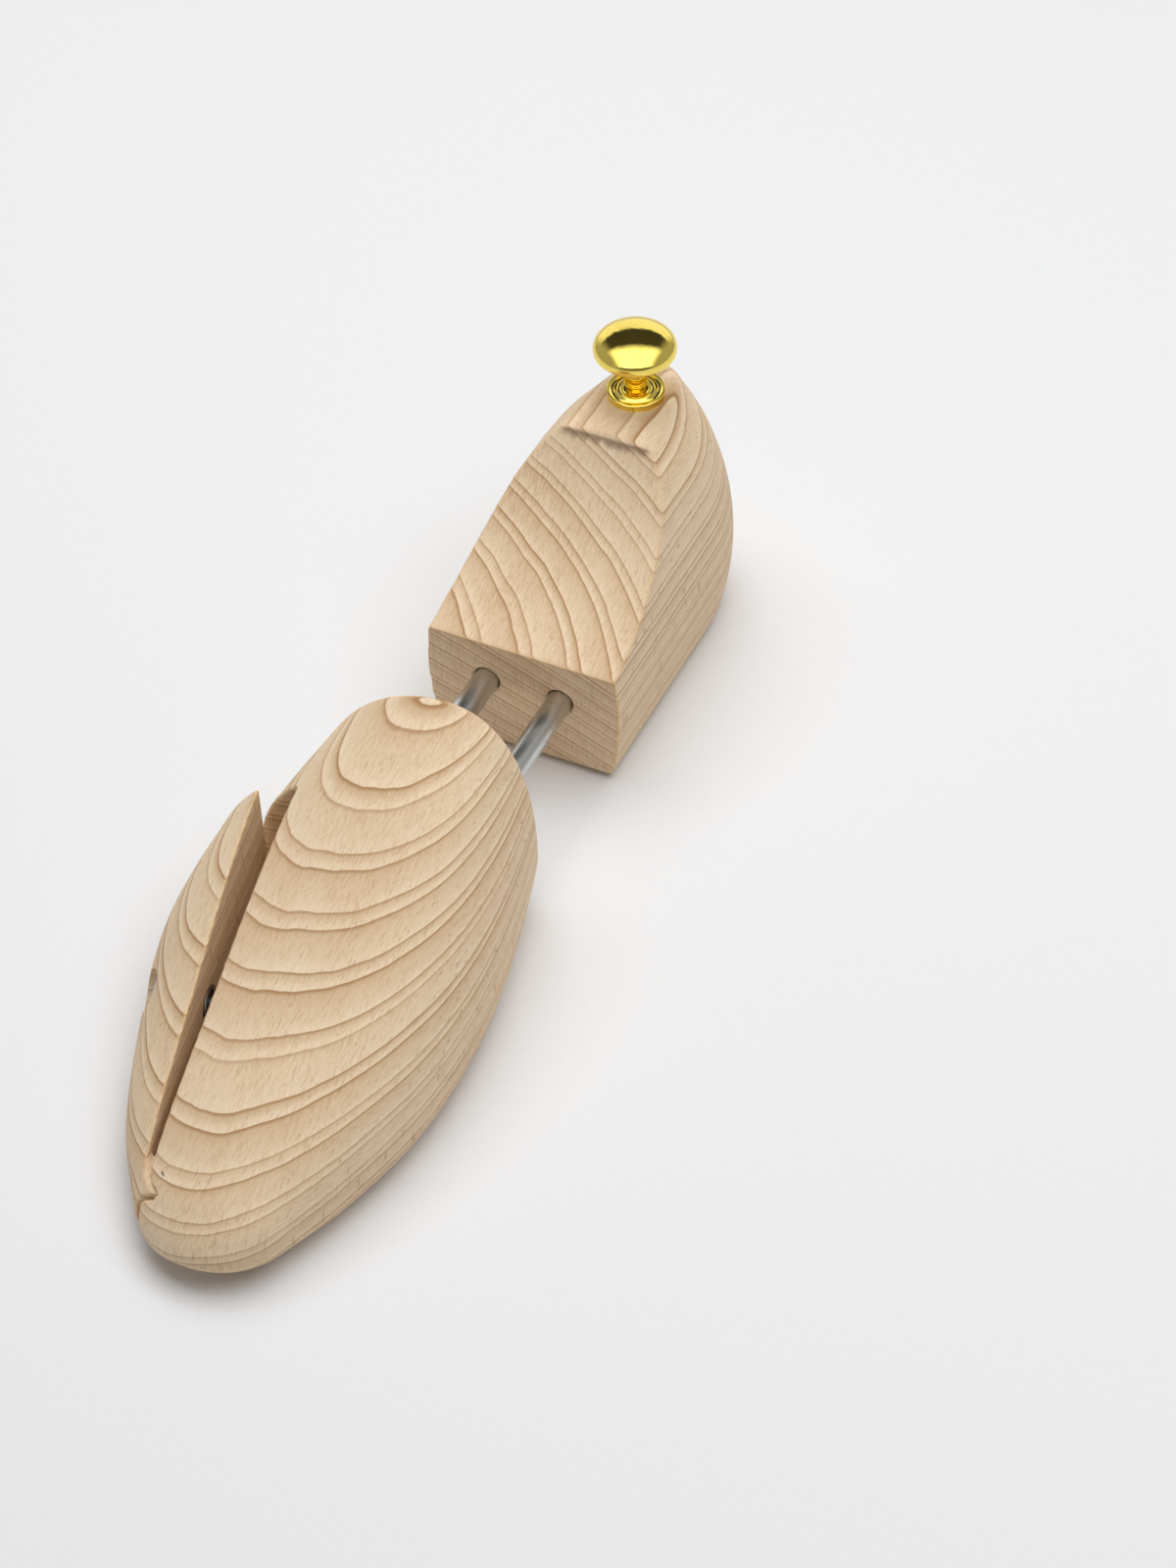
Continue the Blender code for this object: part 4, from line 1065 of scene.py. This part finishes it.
def make_knob():
    """From the crown of the dome, over the rim and its edge, under the head and down the neck."""
    under = KNOB_WIDEST - KNOB_HEAD_DEPTH
    flare = KNOB_NECK_FLARE
    profile = arc((0, KNOB_WIDEST), (KNOB_RADIUS, KNOB_DOME), 90, 0, 40)
    edge = (KNOB_RADIUS - KNOB_EDGE, KNOB_WIDEST - KNOB_EDGE)
    profile += arc(edge, (KNOB_EDGE, KNOB_EDGE), 0, -50, 6)[1:]
    profile += arc((KNOB_RADIUS - 0.0021, under + 0.0009), (0.0010, 0.0009), -10, -90, 8)
    profile += arc((KNOB_NECK_TOP + flare, under - flare), (flare, flare), 90, 180, 8)
    profile += [(KNOB_NECK, KNOB_NECK_LOW), (KNOB_NECK, KNOB_FOOT), (0, KNOB_FOOT)]
    knob = turned("knob_brass", profile, (TREE_X, KNOB_Y, HEEL_HEIGHT), steps=BRASS_STEPS)
    shade(knob, 35)
    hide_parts("knob")
    return knob


def make_rosette():
    """A collar turned in one piece: the neck's seat, a crest round it, a shallow channel and a beaded rim."""
    rim = ROSETTE_RADIUS - ROSETTE_BEAD
    profile = [(0.0, ROSETTE_SEAT), (ROSETTE_SEAT_RADIUS, ROSETTE_SEAT), ROSETTE_LIP]
    crest = (ROSETTE_CREST_RADIUS - 0.0002, ROSETTE_CREST - ROSETTE_CREST_ROUND)
    profile += arc(crest, (ROSETTE_CREST_WIDTH, ROSETTE_CREST_ROUND), 150, 40, 10)
    steps = 12
    (top_r, top_h), (low_r, low_h) = profile[-1], (rim - 0.0002, ROSETTE_RIM)
    for i in range(1, steps + 1):
        share = i / steps
        dip = ROSETTE_DIP * math.sin(math.pi * share)
        profile.append((top_r + (low_r - top_r) * share, top_h + (low_h - top_h) * share - dip))
    profile += arc((rim, ROSETTE_RIM - ROSETTE_BEAD * 0.2), (ROSETTE_BEAD, ROSETTE_BEAD), 105, -20, 10)
    profile += [(ROSETTE_RADIUS - 0.00015, 0.0012), (ROSETTE_RADIUS + 0.00005, 0.0004)]
    profile += [(ROSETTE_RADIUS, ROSETTE_FOOT), (0.0, ROSETTE_FOOT)]
    rosette = turned("knob_rosette_brass", profile, (TREE_X, KNOB_Y, HEEL_HEIGHT), steps=BRASS_STEPS)
    shade(rosette, 40)
    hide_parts("knob_rosette")
    return rosette


# Tubes, bolt and springs


def pipe(node, bore, outside):
    """A tube along Y in its node's box, its four edges rounded."""
    edge = TUBE_EDGE
    low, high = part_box(node)
    length = high.y - low.y
    base = ((low.x + high.x) / 2, low.y, (low.z + high.z) / 2)
    profile = []
    for centre_r, centre_h, begin in (
        (outside - edge, edge, -90),
        (outside - edge, length - edge, 0),
        (bore + edge, length - edge, 90),
        (bore + edge, edge, 180),
    ):
        profile += arc((centre_r, centre_h), (edge, edge), begin, begin + 90, 4)
    tube = turned(f"{node}_steel", profile, base, (0, 1, 0), closed=True)
    shade(tube, 35)
    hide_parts(node)
    return tube


def make_bush(node):
    """A flanged bush; its flange is rounded and its throat chamfered."""
    low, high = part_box(node)
    base = ((low.x + high.x) / 2, low.y, (low.z + high.z) / 2)
    length = high.y - low.y
    profile = [(BUSH_BORE, 0), (BUSH_RADIUS - BUSH_NOSE, 0), (BUSH_RADIUS, BUSH_NOSE_LENGTH)]
    profile += [(BUSH_RADIUS, FLANGE_SEAT), (FLANGE_RADIUS - FLANGE_ROOM, FLANGE_SEAT)]
    centre = (FLANGE_RADIUS - FLANGE_EDGE, length - FLANGE_EDGE)
    profile += arc(centre, (FLANGE_EDGE, FLANGE_EDGE), 0, 90, 5)
    profile += [(BUSH_BORE + FLANGE_EDGE, length), (BUSH_BORE, length - FLANGE_EDGE)]
    bush = turned(f"{node}_nylon", profile, base, (0, 1, 0), closed=True)
    shade(bush, 35)
    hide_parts(node)
    return bush


def coil(name, radius, wire, turns, begin, end, steps=24):
    """Spring wire: a small disc carried round the axis, step by step, its end turns closed up."""
    begin, end = Vector(begin), Vector(end)
    length = (end - begin).length - wire
    dead = 1.05 * wire
    live = (length - 2 * dead) / (turns - 2)
    spring = start(
        name,
        bpy.ops.mesh.primitive_circle_add,
        vertices=8,
        radius=wire / 2,
        fill_type="NGON",
        location=(radius, 0, wire / 2),
        rotation=(math.pi / 2, 0, 0),
    )
    edit(spring)
    bpy.ops.mesh.select_all(action="SELECT")
    for i in range(turns * steps):
        turn = (i + 0.5) / steps
        rise = dead if turn < 1 or turn > turns - 1 else live
        grow((0, 0, rise / steps))
        bpy.ops.transform.rotate(value=-2 * math.pi / steps, orient_axis="Z", center_override=(0, 0, 0))
    tidy_mesh()
    leave()
    facing = Vector((0, 0, 1)).rotation_difference(end - begin).to_matrix().to_4x4()
    spring.data.transform(Matrix.Translation(begin) @ facing)
    shade(spring, 60)
    return spring


def make_guide_bolt():
    """A cheese-head bolt with a screwdriver slot."""
    thread_end = -KERF / 2 - POCKET_DEPTH - THREAD_DEPTH
    head = washer_begin() + WASHER_THICKNESS + GAP - thread_end
    profile = [(0, 0), (BOLT_RADIUS - BOLT_POINT, 0), (BOLT_RADIUS, BOLT_POINT), (BOLT_RADIUS, head)]
    profile += arc((HEAD_RADIUS - HEAD_EDGE, head + HEAD_EDGE), (HEAD_EDGE, HEAD_EDGE), -90, 0, 3)
    centre = (HEAD_RADIUS - HEAD_CROWN, head + HEAD_SIDE_TOP)
    profile += arc(centre, (HEAD_CROWN, HEAD_CROWN), 0, 90, 6)
    profile += [(0, head + HEAD_TOP)]
    base = bolt_point(thread_end)
    bolt = turned("guide_bolt_steel", profile, base, SPLIT_OUT)
    slot = start("slot", bpy.ops.mesh.primitive_cube_add, size=1)
    slot.data.transform(Matrix.Diagonal((*DRIVER_SLOT, 1)))
    facing = Vector((0, 0, 1)).rotation_difference(SPLIT_OUT).to_matrix().to_4x4()
    twist = Matrix.Rotation(DRIVER_SLOT_TURN, 4, "Z")
    middle = Matrix.Translation(base + SPLIT_OUT * (head + DRIVER_SLOT_HEIGHT))
    slot.data.transform(middle @ facing @ twist)
    cut(bolt, slot)
    shade(bolt, 35)
    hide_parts("guide_bolt")
    return bolt


def washer_begin():
    """Where the washer begins along the bolt, outward from the split."""
    low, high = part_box("bolt_washer")
    middle = (low + high) / 2
    return (middle - BOLT_PLACE).dot(SPLIT_OUT) - WASHER_THICKNESS / 2


def make_washer():
    begin = washer_begin()
    rim = WASHER_RADIUS - WASHER_EDGE
    profile = [(BOLT_RADIUS + GAP, 0.0)]
    profile += arc((rim, WASHER_EDGE), (WASHER_EDGE, WASHER_EDGE), -90, 0, 3)
    profile += arc((rim, WASHER_THICKNESS - WASHER_EDGE), (WASHER_EDGE, WASHER_EDGE), 0, 90, 3)
    profile += [(BOLT_RADIUS + GAP, WASHER_THICKNESS)]
    washer = turned("bolt_washer_steel", profile, bolt_point(begin), SPLIT_OUT, closed=True)
    shade(washer, 35)
    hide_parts("bolt_washer")
    return washer


def dress(piece, material, body):
    piece.data.materials.clear()
    piece.data.materials.append(material)
    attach(piece, body)


# Studio


def make_floor():
    floor = start("studio_floor", bpy.ops.mesh.primitive_plane_add, size=40)
    finish = Finish("studio_paper", Specular_IOR_Level=0.2)
    place = finish.place()
    tooth = finish.noise(finish.stretched(place, 1.5, 1.5, 1.5), detail=2)
    colour = finish.ramp(tooth, (0.3, (0.865, 0.867, 0.870)), (0.7, (0.850, 0.852, 0.856)))
    finish.feed(Base_Color=colour, Roughness=0.75 + 0.1 * tooth)
    floor.data.materials.append(finish.material)


def add_light(name, place, aim, size, power):
    """A large square-cornered lamp that polished metal doesn't mirror."""
    data = bpy.data.lights.new(name, "AREA")
    data.shape = "RECTANGLE"
    data.size, data.size_y = size
    data.energy = power
    light = bpy.data.objects.new(name, data)
    light.location = place
    light.rotation_euler = (Vector(aim) - Vector(place)).to_track_quat("-Z", "Y").to_euler()
    light.visible_glossy = False
    bpy.context.scene.collection.objects.link(light)
    return light


def make_world():
    """Soft grey all round; polished metal sees a bright far wall, a dark gap over it and a white ceiling."""
    world = bpy.data.worlds.new("studio")
    world.use_nodes = True
    bpy.context.scene.world = world
    studio = Nodes(world.node_tree)
    facing = studio.node("TexCoord", output="Generated")
    ahead = studio.node("VectorMath", {"operation": "DOT_PRODUCT"}, [facing, STUDIO_FAR], "Value")
    aside = studio.node("VectorMath", {"operation": "DOT_PRODUCT"}, [facing, STUDIO_SIDE], "Value")
    up = studio.axes(facing)[2]
    ragged = studio.noise(facing, detail=5, scale=16)
    share = up.angle(ahead) / math.pi + STUDIO_RAGGED * (ragged - 0.5)
    stops = [(degrees / 180, (level, level, 0.97 * level)) for degrees, level in STUDIO_BANDS]
    bands = studio.ramp(share, *stops)
    seen = studio.mix(aside.absolute().step(0.50, 0.80), bands, STUDIO_SIDE_WALL)
    colour = studio.mix(studio.node("LightPath", output="Is Glossy Ray"), STUDIO_FILL, seen)
    studio.put(world.node_tree.nodes["Background"].inputs["Color"], colour)


def make_camera():
    data = bpy.data.cameras.new("camera")
    data.sensor_width = 36
    data.lens = CAMERA_LENS
    data.clip_start, data.clip_end = 0.05, 20
    camera = bpy.data.objects.new("camera", data)
    camera.location = CAMERA_PLACE
    camera.rotation_euler = [math.radians(a) for a in CAMERA_ANGLES]
    bpy.context.scene.collection.objects.link(camera)
    bpy.context.scene.camera = camera


def build():
    heel_wood = beech("beech_heel", (TREE_X, KNOB_Y, HEEL_HEIGHT), seed=1.0, ridge=True)
    fore_wood = beech("beech_forepart", (TREE_X, FORE_REAR_Y, 0.03), seed=4.0, tilt=-0.18)
    wing_wood = beech("beech_wing", HINGE, -WING_OPEN, seed=4.0, tilt=-0.18)
    gold = brass("polished_brass_knob")
    steel = drawn_steel("bright_steel_tube", (TREE_X, 0, TUBE_Z))
    screw_steel = drawn_steel("bright_steel_small", rough=0.26, seed=5.0)
    wire = spring_steel("spring_steel_wire")
    milky = nylon("nylon_turned")

    dress(make_heel_block(), heel_wood, "heel")
    dress(make_knob(), gold, "heel")
    dress(make_rosette(), gold, "heel")
    blank = fore_blank()
    dress(make_forepart_block(blank), fore_wood, "forepart")
    dress(make_wing(blank), wing_wood, "wing")
    bpy.data.objects.remove(blank)

    dress(make_guide_bolt(), screw_steel, "forepart")
    dress(make_washer(), screw_steel, "forepart")
    for side in ("medial", "lateral"):
        inner = pipe(f"inner_tube_{side}", INNER_TUBE_BORE, INNER_TUBE_RADIUS)
        dress(inner, steel, "heel")
        outer = pipe(f"outer_tube_{side}", OUTER_TUBE_BORE, OUTER_TUBE_RADIUS)
        dress(outer, steel, "forepart")
        dress(make_bush(f"tube_bush_{side}"), milky, "forepart")
        low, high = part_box(f"tube_spring_{side}")
        x, z = (low.x + high.x) / 2, (low.z + high.z) / 2
        spring = coil(f"tube_spring_{side}_wire", *TUBE_COIL, (x, low.y, z), (x, high.y, z))
        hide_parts(f"tube_spring_{side}")
        dress(spring, wire, "forepart")
        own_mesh(spring)

    low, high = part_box("wing_spring")
    inner_seat = -KERF / 2 - POCKET_DEPTH + GAP
    middle = ((low + high) / 2 - BOLT_PLACE).dot(SPLIT_OUT)
    begin, end = bolt_point(inner_seat), bolt_point(2 * middle - inner_seat)
    spring = coil("wing_spring_wire", *WING_COIL, begin, end)
    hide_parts("wing_spring")
    dress(spring, wire, "forepart")
    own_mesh(spring)

    kept = {
        "knob_hanger_bolt": screw_steel,
        "hinge_pin": screw_steel,
        "forepart_pin_medial": screw_steel,
        "forepart_pin_lateral": screw_steel,
        "heel_pin_medial": screw_steel,
        "heel_pin_lateral": screw_steel,
        "tube_end_plug_medial": milky,
        "tube_end_plug_lateral": milky,
        "piston_medial": milky,
        "piston_lateral": milky,
    }
    for node, material in kept.items():
        for obj in cad_objects(node):
            for slot_of in obj.material_slots:
                slot_of.material = material


def cad_objects(node):
    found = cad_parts[node]
    return found if isinstance(found, (list, tuple)) else [found]


build()
make_floor()
make_world()
add_light("softbox", (0.05, 0.20, 1.30), (0, 0, 0), (2.2, 1.1), 18)
add_light("far_floor", (-0.3, 1.9, 2.6), (-0.3, 1.6, 0), (3.0, 2.2), 20)
make_camera()
bpy.context.scene.view_settings.view_transform = "Standard"
bpy.context.scene.view_settings.look = "None"
